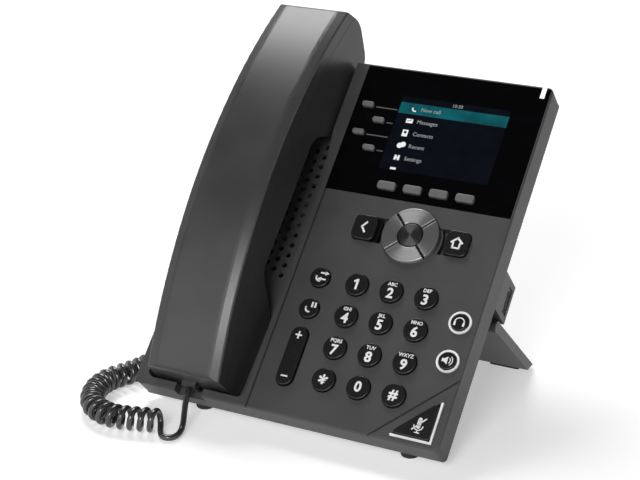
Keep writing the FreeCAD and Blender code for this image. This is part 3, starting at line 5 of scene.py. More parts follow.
import bmesh
import bpy
from mathutils import Matrix, Vector
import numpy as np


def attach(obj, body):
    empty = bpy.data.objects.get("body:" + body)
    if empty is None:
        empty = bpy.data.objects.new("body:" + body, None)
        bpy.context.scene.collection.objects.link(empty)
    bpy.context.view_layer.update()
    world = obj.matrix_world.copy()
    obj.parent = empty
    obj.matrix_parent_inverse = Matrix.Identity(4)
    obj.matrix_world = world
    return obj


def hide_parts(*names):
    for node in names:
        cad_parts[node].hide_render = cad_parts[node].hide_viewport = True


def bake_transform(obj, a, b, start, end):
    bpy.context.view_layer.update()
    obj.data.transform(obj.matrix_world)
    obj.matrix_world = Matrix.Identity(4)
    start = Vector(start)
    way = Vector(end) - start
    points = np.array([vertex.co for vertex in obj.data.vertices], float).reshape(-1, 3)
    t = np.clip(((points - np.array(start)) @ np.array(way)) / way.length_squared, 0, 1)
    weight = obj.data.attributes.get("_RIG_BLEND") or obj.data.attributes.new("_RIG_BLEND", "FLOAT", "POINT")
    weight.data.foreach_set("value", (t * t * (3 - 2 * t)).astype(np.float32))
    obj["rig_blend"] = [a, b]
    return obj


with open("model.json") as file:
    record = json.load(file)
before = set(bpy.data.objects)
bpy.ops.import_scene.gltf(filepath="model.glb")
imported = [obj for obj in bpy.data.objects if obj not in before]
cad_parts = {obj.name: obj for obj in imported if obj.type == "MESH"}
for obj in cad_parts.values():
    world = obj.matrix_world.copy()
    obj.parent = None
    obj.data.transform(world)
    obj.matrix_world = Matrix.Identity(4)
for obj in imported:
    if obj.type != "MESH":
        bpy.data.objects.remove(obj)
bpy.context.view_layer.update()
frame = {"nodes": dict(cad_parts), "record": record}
nodes = frame["nodes"]
scene = bpy.context.scene
scene.view_settings.view_transform = "Standard"

# The face's own frame: x across from the console's centre, y up the face, z out of it, in millimetres.
MM = 0.001
TILT = math.radians(44.0)
EDGE_Y = -0.073253
EDGE_Z = 0.01439
FACE = Matrix.Translation((0, EDGE_Y, EDGE_Z)) @ Matrix.Rotation(TILT, 4, "X") @ Matrix.Scale(MM, 4)
KEYPAD_X = 33.8
NAV_Y = 101.4
KEY_TOP = 1.6
WINDOW_TOP = 0.0


# Camera

CAMERA_PLACE = Vector((0.3288, -0.68947, 0.3811))
CAMERA_FORWARD = Vector((-0.4148, 0.8312, -0.3702))
CAMERA_LENS = 93.94
SENSOR_WIDTH = 36.0
CLIP_START = 0.01

camera_data = bpy.data.cameras.new("camera")
camera_data.lens = CAMERA_LENS
camera_data.sensor_width = SENSOR_WIDTH
camera_data.clip_start = CLIP_START
camera = bpy.data.objects.new("camera", camera_data)
camera.location = CAMERA_PLACE
camera.rotation_euler = CAMERA_FORWARD.to_track_quat("-Z", "Y").to_euler()
scene.collection.objects.link(camera)
scene.camera = camera


# Materials: noise scales are in cells per metre, relief depths in metres

CLOUD_SCALE = 45.0
SMEAR_SCALE = 60.0
GLOW_SCALE = 120.0
STREAK_SCALE = 900.0
SPUN_SCALE = 2500.0
GRAIN_DEPTH = 0.00008
SPUN_DEPTH = 0.00004
TONE_ENDS = (0.35, 0.65)
GLOSS_ENDS = (0.3, 0.7)
BLACK_GLASS = (0.0015, 0.0015, 0.002)
GLASS_SPECULAR = 0.3


def new_material(name):
    """Material with a plain principled shader; returns it, its tree and the shader."""
    material = bpy.data.materials.new(name)
    material.use_nodes = True
    tree = material.node_tree
    return material, tree, tree.nodes["Principled BSDF"]


def object_noise(tree, scale, detail, stretch=(1, 1, 1)):
    """Noise in the piece's own frame."""
    coordinates = tree.nodes.new("ShaderNodeTexCoord")
    mapping = tree.nodes.new("ShaderNodeMapping")
    mapping.inputs["Scale"].default_value = stretch
    noise = tree.nodes.new("ShaderNodeTexNoise")
    noise.inputs["Scale"].default_value = scale
    noise.inputs["Detail"].default_value = detail
    tree.links.new(coordinates.outputs["Object"], mapping.inputs["Vector"])
    tree.links.new(mapping.outputs["Vector"], noise.inputs["Vector"])
    return noise


def ramp(tree, source, low, high):
    """Noise spread between two colours."""
    node = tree.nodes.new("ShaderNodeValToRGB")
    node.color_ramp.elements[0].position = TONE_ENDS[0]
    node.color_ramp.elements[1].position = TONE_ENDS[1]
    node.color_ramp.elements[0].color = (*low, 1)
    node.color_ramp.elements[1].color = (*high, 1)
    tree.links.new(source, node.inputs["Fac"])
    return node


def remap(tree, source, low, high, ends=GLOSS_ENDS):
    """Value between two ends spread between two numbers."""
    node = tree.nodes.new("ShaderNodeMapRange")
    node.inputs["From Min"].default_value = ends[0]
    node.inputs["From Max"].default_value = ends[1]
    node.inputs["To Min"].default_value = low
    node.inputs["To Max"].default_value = high
    tree.links.new(source, node.inputs["Value"])
    return node


def bump(tree, shader, source, strength, distance):
    """Surface relief from a height."""
    node = tree.nodes.new("ShaderNodeBump")
    node.inputs["Strength"].default_value = strength
    node.inputs["Distance"].default_value = distance
    tree.links.new(source, node.inputs["Height"])
    tree.links.new(node.outputs["Normal"], shader.inputs["Normal"])


def moulded(name, grey, roughness, grain, relief, spread=0.12, tint=(1.0, 1.0, 1.02), specular=0.5):
    """Moulded plastic: spark-eroded grain, faint cloudiness and slightly uneven gloss."""
    material, tree, shader = new_material(name)
    clouds = object_noise(tree, CLOUD_SCALE, 4.0)
    low = [grey * (1 - spread) * part for part in tint]
    high = [grey * (1 + spread) * part for part in tint]
    colour = ramp(tree, clouds.outputs["Fac"], low, high)
    tree.links.new(colour.outputs["Color"], shader.inputs["Base Color"])
    fine = object_noise(tree, grain, 3.0)
    gloss = remap(tree, fine.outputs["Fac"], roughness - 0.05, roughness + 0.06)
    tree.links.new(gloss.outputs["Result"], shader.inputs["Roughness"])
    shader.inputs["Specular IOR Level"].default_value = specular
    bump(tree, shader, fine.outputs["Fac"], relief, GRAIN_DEPTH)
    return material


def glossy(name, colour, roughness, smear=0.04, coat=0.3, specular=0.5):
    """Gloss plastic or glass front with faint smears."""
    material, tree, shader = new_material(name)
    smears = object_noise(tree, SMEAR_SCALE, 5.0, (1, 3, 1))
    low = [part * 0.85 for part in colour]
    high = [part * 1.15 for part in colour]
    tone = ramp(tree, smears.outputs["Fac"], low, high)
    tree.links.new(tone.outputs["Color"], shader.inputs["Base Color"])
    gloss = remap(tree, smears.outputs["Fac"], roughness, roughness + smear)
    tree.links.new(gloss.outputs["Result"], shader.inputs["Roughness"])
    shader.inputs["Specular IOR Level"].default_value = specular
    shader.inputs["Coat Weight"].default_value = coat
    shader.inputs["Coat Roughness"].default_value = 0.05
    return material


def lit(name, colour, strength, spread, painted):
    """Backlit surface, slightly uneven; one that isn't painted is black when it's off."""
    material, tree, shader = new_material(name)
    clouds = object_noise(tree, GLOW_SCALE, 2.0)
    low = [part * (1 - spread) for part in colour]
    high = [min(1.0, part * (1 + spread)) for part in colour]
    tone = ramp(tree, clouds.outputs["Fac"], low, high)
    tree.links.new(tone.outputs["Color"], shader.inputs["Emission Color"])
    shader.inputs["Emission Strength"].default_value = strength
    if painted:
        tree.links.new(tone.outputs["Color"], shader.inputs["Base Color"])
        shader.inputs["Roughness"].default_value = 0.35
    else:
        shader.inputs["Base Color"].default_value = (*BLACK_GLASS, 1)
        shader.inputs["Specular IOR Level"].default_value = GLASS_SPECULAR
        shader.inputs["Roughness"].default_value = 0.1
    return material


def metal(name, grey, roughness):
    """Brushed sheet metal."""
    material, tree, shader = new_material(name)
    streaks = object_noise(tree, STREAK_SCALE, 3.0, (0.1, 1, 1))
    tone = ramp(tree, streaks.outputs["Fac"], [grey * 0.8] * 3, [grey * 1.15] * 3)
    tree.links.new(tone.outputs["Color"], shader.inputs["Base Color"])
    shader.inputs["Metallic"].default_value = 1.0
    gloss = remap(tree, streaks.outputs["Fac"], roughness - 0.06, roughness + 0.1)
    tree.links.new(gloss.outputs["Result"], shader.inputs["Roughness"])
    return material


def spun(name, grey, roughness, centre):
    """Satin metal turned on a lathe: its grooves run round a centre on the face."""
    material, tree, shader = new_material(name)
    coordinates = tree.nodes.new("ShaderNodeTexCoord")
    offset = tree.nodes.new("ShaderNodeVectorMath")
    offset.operation = "SUBTRACT"
    offset.inputs[1].default_value = FACE @ Vector((*centre, KEY_TOP))
    tree.links.new(coordinates.outputs["Object"], offset.inputs[0])
    tangent = tree.nodes.new("ShaderNodeVectorMath")
    tangent.operation = "CROSS_PRODUCT"
    tangent.inputs[0].default_value = (0, -math.sin(TILT), math.cos(TILT))
    tree.links.new(offset.outputs["Vector"], tangent.inputs[1])
    tree.links.new(tangent.outputs["Vector"], shader.inputs["Tangent"])
    reach = tree.nodes.new("ShaderNodeVectorMath")
    reach.operation = "LENGTH"
    tree.links.new(offset.outputs["Vector"], reach.inputs[0])
    grooves = tree.nodes.new("ShaderNodeTexNoise")
    grooves.noise_dimensions = "1D"
    grooves.inputs["Scale"].default_value = SPUN_SCALE
    grooves.inputs["Detail"].default_value = 3.0
    tree.links.new(reach.outputs["Value"], grooves.inputs["W"])
    tone = ramp(tree, grooves.outputs["Fac"], [grey * 0.85] * 3, [grey * 1.15] * 3)
    tree.links.new(tone.outputs["Color"], shader.inputs["Base Color"])
    gloss = remap(tree, grooves.outputs["Fac"], roughness - 0.05, roughness + 0.05)
    tree.links.new(gloss.outputs["Result"], shader.inputs["Roughness"])
    shader.inputs["Metallic"].default_value = 0.7
    shader.inputs["Anisotropic"].default_value = 0.92
    shader.inputs["Anisotropic Rotation"].default_value = 0.25
    bump(tree, shader, grooves.outputs["Fac"], 0.1, SPUN_DEPTH)
    return material


# moulded: name, grey, roughness, grain scale, relief, spread of tone, tint
# glossy: name, colour, roughness, smear, coat; spun: name, grey, roughness, centre
# lit: name, colour, strength, spread of tone, painted
MATERIALS = {
    "housing": moulded("housing_plastic", 0.048, 0.5, 2400.0, 0.3),
    # painted light: the cover and the stand get a lighter grey than the housing, for the light that falls on
    # them
    "cover": moulded("cover_painted_light", 0.075, 0.5, 1800.0, 0.35),
    "stand": moulded("stand_painted_light", 0.085, 0.5, 1800.0, 0.35),
    "handset": moulded("handset_plastic", 0.043, 0.34, 3200.0, 0.1),
    "key": moulded("key_plastic", 0.009, 0.3, 3000.0, 0.08, specular=0.4),
    "arrow_key": spun("arrow_satin", 0.27, 0.36, (KEYPAD_X, NAV_Y)),
    "select_key": spun("select_satin", 0.06, 0.4, (KEYPAD_X, NAV_Y)),
    "soft_key": moulded("soft_key_plastic", 0.135, 0.4, 3000.0, 0.15),
    "window": glossy("window_gloss", BLACK_GLASS, 0.1, 0.03, 0.0, GLASS_SPECULAR),
    "display": glossy("display_dark", (0.008, 0.012, 0.02), 0.15),
    "light_guide": lit("light_guide", (0.8, 0.81, 0.82), 0.12, 0.08, True),
    "message_light": lit("message_light", (0.9, 0.9, 0.9), 0.4, 0.08, True),
    "board": moulded("board_laminate", 0.05, 0.45, 1500.0, 0.2, 0.2, (0.4, 1.6, 0.7)),
    "silicone": moulded("mat_silicone", 0.25, 0.6, 900.0, 0.2),
    "rubber": moulded("foot_rubber", 0.014, 0.75, 1400.0, 0.5),
    "speaker": moulded("speaker_paint", 0.03, 0.4, 1200.0, 0.2),
    "jack": moulded("jack_plastic", 0.012, 0.42, 2200.0, 0.2),
    "port_shell": metal("port_metal", 0.55, 0.3),
    "screw": metal("screw_zinc", 0.5, 0.28),
    "cord": moulded("cord_jacket", 0.03, 0.2, 1600.0, 0.05, 0.1, specular=0.8),
    "plug": glossy("plug_smoke", (0.05, 0.05, 0.047), 0.12),
    # painted shade: near-black strip for the shade at the foot of the face's grooves
    "groove_shade": moulded("groove_painted_shadow", 0.005, 0.7, 1500.0, 0.1),
    "legend": moulded("legend_ink", 0.85, 0.5, 1500.0, 0.05, 0.04, (1, 1, 1)),
    "screen_back": lit("screen_back", (0.0022, 0.003, 0.006), 1.0, 0.2, False),
    "screen_row": lit("screen_row", (0.004, 0.09, 0.105), 1.0, 0.25, False),
    "screen_icon": lit("screen_icon", (0.8, 0.82, 0.83), 1.0, 0.05, False),
    "screen_text": lit("screen_text", (0.33, 0.36, 0.37), 1.0, 0.08, False),
    "screen_dim": lit("screen_dim", (0.09, 0.1, 0.105), 1.0, 0.1, False),
}

SLOT_OF_NODE = {entry["node"]: entry["material_slot"] for entry in frame["record"]["subparts"]}
for name, node in nodes.items():
    look = SLOT_OF_NODE[name]
    if name.startswith(("soft_key", "line_key")):
        look = "soft_key"
    if name in ("message_light", "select_key"):
        look = name
    node.data.materials.clear()
    node.data.materials.append(MATERIALS[look])


# Piece helpers

ARC_STEPS = 16
DOT_STEPS = 20


def add_piece(name, mesh, look, body):
    """Link a mesh as a piece that moves with a body."""
    piece = bpy.data.objects.new(name, mesh)
    scene.collection.objects.link(piece)
    mesh.materials.clear()
    mesh.materials.append(MATERIALS[look])
    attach(piece, body)


def prisms(outlines, low, high):
    """Mesh of upright prisms over outlines in the face's frame."""
    shape = bmesh.new()
    for outline in outlines:
        floor = [shape.verts.new((x, y, low)) for x, y in outline]
        roof = [shape.verts.new((x, y, high)) for x, y in outline]
        count = len(outline)
        shape.faces.new(roof)
        shape.faces.new(list(reversed(floor)))
        for i in range(count):
            j = (i + 1) % count
            shape.faces.new((floor[i], floor[j], roof[j], roof[i]))
    bmesh.ops.recalc_face_normals(shape, faces=shape.faces)
    shape.transform(FACE)
    mesh = bpy.data.meshes.new("prisms")
    shape.to_mesh(mesh)
    shape.free()
    return mesh


def curve_mesh(curve):
    """Mesh of a curve or of lettering."""
    holder = bpy.data.objects.new("holder", curve)
    scene.collection.objects.link(holder)
    bpy.context.view_layer.update()
    mesh = bpy.data.meshes.new_from_object(holder.evaluated_get(bpy.context.evaluated_depsgraph_get()))
    bpy.data.objects.remove(holder)
    return mesh


def text_mesh(words, size, x, y, low, thickness, weight=0.0, align="CENTER"):
    """Mesh of raised lettering in the face's frame."""
    curve = bpy.data.curves.new("words", "FONT")
    curve.body = words
    curve.size = size
    curve.align_x = align
    curve.align_y = "CENTER"
    curve.extrude = thickness / 2
    curve.offset = weight
    curve.resolution_u = 3
    mesh = curve_mesh(curve)
    mesh.transform(FACE @ Matrix.Translation((x, y, low + thickness / 2)))
    return mesh


def joined(meshes):
    """One mesh from several."""
    shape = bmesh.new()
    for mesh in meshes:
        shape.from_mesh(mesh)
    result = bpy.data.meshes.new("joined")
    shape.to_mesh(result)
    shape.free()
    return result


def placed(points, x, y, angle_deg):
    """Outline turned by an angle and moved to a place."""
    turn = math.radians(angle_deg)
    return [(x + u * math.cos(turn) - v * math.sin(turn), y + u * math.sin(turn) + v * math.cos(turn))
            for u, v in points]


def arc(centre, radius, start_deg, end_deg):
    """Points along an arc."""
    points = []
    for i in range(ARC_STEPS + 1):
        angle = math.radians(start_deg + (end_deg - start_deg) * i / ARC_STEPS)
        points.append((centre[0] + radius * math.cos(angle), centre[1] + radius * math.sin(angle)))
    return points


def band(centre, inner, outer, start_deg, end_deg):
    """Outline of part of a ring."""
    return arc(centre, outer, start_deg, end_deg) + arc(centre, inner, start_deg, end_deg)[::-1]


def bar(x, y, width, height, angle_deg=0.0):
    """Rectangle about its centre."""
    right, top = width / 2, height / 2
    return placed([(-right, -top), (right, -top), (right, top), (-right, top)], x, y, angle_deg)


def dot(x, y, radius):
    """Round outline."""
    angles = [2 * math.pi * i / DOT_STEPS for i in range(DOT_STEPS)]
    return [(x + radius * math.cos(angle), y + radius * math.sin(angle)) for angle in angles]


def arrow_head(x, y, size, angle_deg):
    """Triangle that points along an angle."""
    return placed([(size, 0), (-0.5 * size, 0.85 * size), (-0.5 * size, -0.85 * size)], x, y, angle_deg)


def digit_one(x, y):
    """A plain 1: a stem and a flag."""
    return [bar(x + 0.2, y, 1.15, 5.4), bar(x - 0.7, y + 1.8, 2.2, 0.95, 42)]


def receiver_glyph(x, y, size, angle_deg):
    """Telephone receiver: a bow with two square ends."""
    bow = band((0, 0.75 * size), 0.62 * size, 0.98 * size, 215, 325)
    ends = [bar(side * 0.56 * size, 0.2 * size, 0.46 * size, 0.36 * size, side * 35) for side in (-1, 1)]
    return [placed(outline, x, y, angle_deg) for outline in [bow] + ends]


# Key legends

LEGEND_LOW = KEY_TOP - 0.05
LEGEND_THICKNESS = 0.1
LEGEND_TOP = LEGEND_LOW + LEGEND_THICKNESS
DIAL_PITCH_X = 18.0
DIAL_PITCH_Y = 16.7
DIAL_TOP_Y = 71.3
DIGIT_SIZE = 7.1
DIGIT_DROP = 1.5
DIGIT_WEIGHT = 0.22
STAR_SIZE = 10.5
STAR_DROP = 2.1
LETTER_SIZE = 2.5
LETTER_RISE = 3.3
LETTER_WEIGHT = 0.07
DIAL = (("key_1", "1", ""), ("key_2", "2", "ABC"), ("key_3", "3", "DEF"),
        ("key_4", "4", "GHI"), ("key_5", "5", "JKL"), ("key_6", "6", "MNO"),
        ("key_7", "7", "PQRS"), ("key_8", "8", "TUV"), ("key_9", "9", "WXYZ"),
        ("key_star", "*", ""), ("key_0", "0", ""), ("key_hash", "#", ""))


def legend_text(words, size, x, y, weight):
    """Printed lettering on a key's top."""
    return text_mesh(words, size, x, y, LEGEND_LOW, LEGEND_THICKNESS, weight)


for index, (node, digit, letters) in enumerate(DIAL):
    x = KEYPAD_X + (index % 3 - 1) * DIAL_PITCH_X
    y = DIAL_TOP_Y - (index // 3) * DIAL_PITCH_Y
    if digit == "1":
        meshes = [prisms(digit_one(x, y), LEGEND_LOW, LEGEND_TOP)]
    elif digit == "*":
        meshes = [legend_text(digit, STAR_SIZE, x, y - STAR_DROP, DIGIT_WEIGHT)]
    else:
        drop = DIGIT_DROP if letters else 0.0
        meshes = [legend_text(digit, DIGIT_SIZE, x, y - drop, DIGIT_WEIGHT)]
    if letters:
        meshes.append(legend_text(letters, LETTER_SIZE, x, y + LETTER_RISE, LETTER_WEIGHT))
    add_piece("legend_" + node, joined(meshes), "legend", node)

# Middles of the signs on the other keys
FUNCTION_X = KEYPAD_X - 37.7
TRANSFER_Y = DIAL_TOP_Y
HOLD_Y = DIAL_TOP_Y - DIAL_PITCH_Y
PLUS_Y = 40.2
MINUS_Y = 18.8
BACK_X = KEYPAD_X - 24.5
HOME_X = KEYPAD_X + 24.2
AUDIO_X = KEYPAD_X + 37.9
HEADSET_Y = 62.3
SPEAKER_Y = 43.0
MUTE_X = KEYPAD_X + 34.6
MUTE_Y = 10.9
SPEAKER_CONE = [(-2.6, -0.8), (-1.4, -0.8), (0.2, -2.0), (0.2, 2.0), (-1.4, 0.8), (-2.6, 0.8)]
ICONS = {
    "transfer_key": receiver_glyph(FUNCTION_X - 1.0, TRANSFER_Y - 1.4, 2.5, -45)
    + [bar(FUNCTION_X + 1.5, TRANSFER_Y + 2.3, 3.2, 0.85),
       arrow_head(FUNCTION_X + 3.2, TRANSFER_Y + 2.3, 1.3, 0),
       bar(FUNCTION_X + 2.0, TRANSFER_Y - 0.9, 3.0, 0.85),
       arrow_head(FUNCTION_X + 0.4, TRANSFER_Y - 0.9, 1.3, 180)],
    "hold_key": receiver_glyph(FUNCTION_X - 0.8, HOLD_Y - 1.3, 2.5, -45)
    + [bar(FUNCTION_X + 1.4, HOLD_Y + 2.0, 0.95, 2.8), bar(FUNCTION_X + 3.1, HOLD_Y + 2.0, 0.95, 2.8)],
    "volume_rocker": [bar(FUNCTION_X, PLUS_Y, 3.4, 0.8), bar(FUNCTION_X, PLUS_Y + 1.15, 0.8, 1.5),
                      bar(FUNCTION_X, PLUS_Y - 1.15, 0.8, 1.5), bar(FUNCTION_X, MINUS_Y, 3.4, 0.8)],
    "back_key": [bar(BACK_X, NAV_Y + 1.25, 4.1, 1.0, 52), bar(BACK_X, NAV_Y - 1.25, 4.1, 1.0, -52)],
    "home_key": [bar(HOME_X - 1.3, NAV_Y + 1.5, 4.6, 0.95, 42),
                 bar(HOME_X + 1.3, NAV_Y + 1.5, 4.6, 0.95, -42),
                 bar(HOME_X - 1.7, NAV_Y - 1.2, 0.9, 3.0), bar(HOME_X + 1.7, NAV_Y - 1.2, 0.9, 3.0),
                 bar(HOME_X, NAV_Y - 2.6, 4.2, 0.9)],
    "headset_key": [band((AUDIO_X, HEADSET_Y), 2.1, 2.65, 10, 170),
                    bar(AUDIO_X - 2.2, HEADSET_Y - 0.7, 1.0, 2.0),
                    bar(AUDIO_X + 2.2, HEADSET_Y - 0.7, 1.0, 2.0)],
    "speaker_key": [placed(SPEAKER_CONE, AUDIO_X, SPEAKER_Y, 0),
                    band((AUDIO_X - 0.2, SPEAKER_Y), 1.5, 1.95, -50, 50),
                    band((AUDIO_X - 0.2, SPEAKER_Y), 2.6, 3.05, -50, 50)],
    "mute_key": [bar(MUTE_X, MUTE_Y, 2.0, 3.4),
                 dot(MUTE_X, MUTE_Y + 1.7, 1.0), dot(MUTE_X, MUTE_Y - 1.7, 1.0),
                 band((MUTE_X, MUTE_Y - 1.2), 2.0, 2.5, 180, 360), bar(MUTE_X, MUTE_Y - 4.0, 0.55, 1.4),
                 bar(MUTE_X, MUTE_Y - 4.7, 2.4, 0.5), bar(MUTE_X, MUTE_Y - 0.5, 8.6, 0.6, 48)],
}
for node, outlines in ICONS.items():
    add_piece("icon_" + node, prisms(outlines, LEGEND_LOW, LEGEND_TOP), "legend", node)


# Painted shade: a near-black strip at the foot of the face's two grooves, where shade falls

GROOVE_X = KEYPAD_X - 52.0
GROOVE_Y = 60.0
GROOVE_SHADE_LENGTH = 117.0
DIAGONAL_X = KEYPAD_X + 29.5
DIAGONAL_Y = 18.0
DIAGONAL_SHADE_LENGTH = 45.0
SHADE_STRIP_WIDTH = 0.9
SHADE_STRIP_LOW = -0.79
SHADE_STRIP_TOP = -0.15
shade_strips = [bar(GROOVE_X, GROOVE_Y, SHADE_STRIP_WIDTH, GROOVE_SHADE_LENGTH),
         bar(DIAGONAL_X, DIAGONAL_Y, DIAGONAL_SHADE_LENGTH, SHADE_STRIP_WIDTH, 45)]
add_piece("groove_painted_shade", prisms(shade_strips, SHADE_STRIP_LOW, SHADE_STRIP_TOP), "groove_shade", "console")


# Display picture: thin layers on the window's front, over the display

LCD_X = KEYPAD_X + 0.3
LCD_Y = 152.9
PICTURE_Y = LCD_Y + 2.5
PICTURE_HALF_W = 28.8
PICTURE_HALF_H = 20.8
LAYER = 0.03
ROW_PITCH = 7.0
ROW_HEIGHT = 6.2
TOP_ROW_Y = LCD_Y + 16.8
ICON_X = LCD_X - 21.2
LABELS = ("New call", "Messages", "Contacts", "Recent", "Settings")
LABEL_X = ICON_X + 4.0
LABEL_SIZE = 3.0
CLOCK_PLACE = (LCD_X + 1.0, LCD_Y + 21.5)
CLOCK_SIZE = 2.6
LINE_KEYS_X = (KEYPAD_X - 45.4, KEYPAD_X - 37.0)
LINE_KEY_HALF = 4.4
TOP_LINE_KEY_Y = LCD_Y + 15.0
LINE_KEY_PITCH = 8.0
LEADER_WIDTH = 0.6
LEADER_GAP = 0.8


def screen(name, outlines, layer, look):
    """One layer of the display picture."""
    low = WINDOW_TOP + (layer - 1) * LAYER
    add_piece(name, prisms(outlines, low, low + LAYER), look, "console")


screen("screen_back", [bar(LCD_X, PICTURE_Y, 2 * PICTURE_HALF_W, 2 * PICTURE_HALF_H)], 1, "screen_back")
screen("screen_row", [bar(LCD_X, TOP_ROW_Y, 2 * PICTURE_HALF_W, ROW_HEIGHT)], 2, "screen_row")

rows_y = [TOP_ROW_Y - i * ROW_PITCH for i in range(len(LABELS))]
glyphs = receiver_glyph(ICON_X, rows_y[0] - 0.8, 2.0, -40)
glyphs += [bar(ICON_X, rows_y[1], 3.6, 2.4)]
glyphs += [bar(ICON_X - 0.2, rows_y[2], 3.0, 3.8)]
glyphs += [dot(ICON_X - 0.7, rows_y[3] - 0.2, 1.5), dot(ICON_X + 0.9, rows_y[3] + 0.6, 1.5)]
glyphs += [bar(ICON_X - 0.9, rows_y[4], 1.1, 2.8), bar(ICON_X + 0.9, rows_y[4], 1.1, 2.8),
           bar(ICON_X, rows_y[4], 1.0, 1.0)]
glyphs += [bar(ICON_X, PICTURE_Y - PICTURE_HALF_H + 0.9, 3.0, 1.2)]
screen("screen_glyphs", glyphs, 3, "screen_icon")
details = [bar(ICON_X, rows_y[1] + 0.25, 2.6, 0.35, 24), dot(ICON_X - 0.2, rows_y[2] + 0.5, 0.75)]
screen("screen_glyph_details", details, 4, "screen_back")

words_low = WINDOW_TOP + 2 * LAYER
lines = [text_mesh(words, LABEL_SIZE, LABEL_X, y, words_low, LAYER, 0.0, "LEFT")
         for words, y in zip(LABELS, rows_y)]
lines.append(text_mesh("10:30", CLOCK_SIZE, *CLOCK_PLACE, words_low, LAYER))
add_piece("screen_labels", joined(lines), "screen_text", "console")

leaders = []
leader_end = LCD_X - PICTURE_HALF_W - LEADER_GAP
for index in range(4):
    leader_start = LINE_KEYS_X[index % 2] + LINE_KEY_HALF
    y = TOP_LINE_KEY_Y - index * LINE_KEY_PITCH
    leaders.append(bar((leader_start + leader_end) / 2, y, leader_end - leader_start, LEADER_WIDTH))
screen("line_leaders", leaders, 1, "screen_dim")


# Curly cord: its route's points in millimetres, y back from the face's lower edge and z up from the desk

WIRE_DIAMETER = 3.0
CURL_DIAMETER = 12.4
CURL_COUNT = 34.25
HELIX_RADIUS = (CURL_DIAMETER - WIRE_DIAMETER) / 2
AXIS_HEIGHT = CURL_DIAMETER / 2 + 0.05
CURL_AXIS = (
    (-55.5, -17.0), (-67.0, -20.5), (-81.0, -23.5), (-94.0, -17.5), (-101.5, -5.0), (-102.5, 9.0),
    (-95.5, 22.0), (-91.5, 36.0), (-91.5, 52.0), (-93.5, 70.0), (-92.0, 90.0), (-92.5, 108.0),
)
HANDSET_TAIL = ((-50.2, 2.09, 16.26), (-50.2, -2.23, 12.1), (-46.0, -11.6, 1.7), (-45.0, -19.9, 1.55),
                (-47.7, -22.7, 1.55), (-51.5, -22.8, 1.55))
CONSOLE_TAIL = ((-89.2, 107.0, 24.0), (-90.6, 100.5, 35.5), (-90.8, 92.8, 45.5), (-87.4, 86.6, 53.4),
                (-80.8, 84.51, 54.99), (-74.8, 84.51, 54.99))
POINTS_PER_CURL = 16
LIFTED_CURLS = 9.0
AXIS_RESOLUTION = 24
CORD_RESOLUTION = 3
SIDES = 12


def route_line(points, resolution):
    """Points read along a smooth line with these control points, in millimetres."""
    data = bpy.data.curves.new("route", "CURVE")
    data.dimensions = "3D"
    data.resolution_u = resolution
    spline = data.splines.new("NURBS")
    spline.points.add(len(points) - 1)
    for control, point in zip(spline.points, points):
        control.co = (*point, 1)
    spline.order_u = 3
    spline.use_endpoint_u = True
    mesh = curve_mesh(data)
    line = [vertex.co.copy() for vertex in mesh.vertices]
    bpy.data.meshes.remove(mesh)
    return line


def along(line):
    """Distance travelled at each point of a line."""
    travelled = [0.0]
    for before, after in zip(line, line[1:]):
        travelled.append(travelled[-1] + (after - before).length)
    return travelled


def helix_points():
    """Curls round the axis line, left-handed, from their lowest point."""
    axis = route_line([(x, y, AXIS_HEIGHT) for x, y in CURL_AXIS], AXIS_RESOLUTION)
    travelled = along(axis)
    count = int(CURL_COUNT * POINTS_PER_CURL)
    radius = HELIX_RADIUS / math.cos(math.pi / POINTS_PER_CURL) ** 0.5
    points = []
    spot = 0
    for i in range(count + 1):
        share = i / count
        target = share * travelled[-1]
        while spot < len(axis) - 2 and travelled[spot + 1] < target:
            spot += 1
        step = travelled[spot + 1] - travelled[spot]
        part = (target - travelled[spot]) / step
        middle = axis[spot].lerp(axis[spot + 1], part)
        heading = (axis[spot + 1] - axis[spot]).normalized()
        side = heading.cross(Vector((0, 0, 1)))
        angle = -math.pi / 2 + 2 * math.pi * CURL_COUNT * share
        rise = Vector((0, 0, HELIX_RADIUS * math.sin(angle)))
        points.append(middle + side * (radius * math.cos(angle)) + rise)
    return points


def tube_mesh(line, radius, sides):
    """Closed round tube along a line, without twist."""
    shape = bmesh.new()
    rings = []
    normal = None
    for i, point in enumerate(line):
        heading = (line[min(i + 1, len(line) - 1)] - line[max(i - 1, 0)]).normalized()
        if normal is None:
            normal = heading.orthogonal().normalized()
        normal = (normal - heading * normal.dot(heading)).normalized()
        other = heading.cross(normal)
        ring = []
        for k in range(sides):
            angle = 2 * math.pi * k / sides
            offset = normal * (radius * math.cos(angle)) + other * (radius * math.sin(angle))
            ring.append(shape.verts.new(point + offset))
        rings.append(ring)
    for before, after in zip(rings, rings[1:]):
        for k in range(sides):
            n = (k + 1) % sides
            shape.faces.new((before[k], before[n], after[n], after[k])).smooth = True
    shape.faces.new(list(reversed(rings[0])))
    shape.faces.new(rings[-1])
    bmesh.ops.recalc_face_normals(shape, faces=shape.faces)
    mesh = bpy.data.meshes.new("tube")
    shape.to_mesh(mesh)
    shape.free()
    return mesh


to_desk = Matrix.Translation((0, EDGE_Y, 0)) @ Matrix.Scale(MM, 4)
controls = [*HANDSET_TAIL, *helix_points(), *CONSOLE_TAIL]
cord_line = [to_desk @ point for point in route_line(controls, CORD_RESOLUTION)]
cord_travel = along(cord_line)
cord_mesh = tube_mesh(cord_line, WIRE_DIAMETER / 2 * MM, SIDES)
cord = bpy.data.objects.new("curly_cord", cord_mesh)
scene.collection.objects.link(cord)
cord_mesh.materials.append(MATERIALS["cord"])
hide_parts("handset_cord")
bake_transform(cord, "console", "handset", start=cord_line[-1], end=cord_line[0])
# The handset draws out only the first curls; the rest stays on the desk.
lifted_length = LIFTED_CURLS * 2 * math.pi * HELIX_RADIUS * MM
weights = []
for distance in cord_travel:
    share = max(0.0, 1.0 - distance / lifted_length)
    weights += [share * share * (3 - 2 * share)] * SIDES
cord_mesh.attributes["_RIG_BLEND"].data.foreach_set("value", weights)


# Floor, backdrop and light

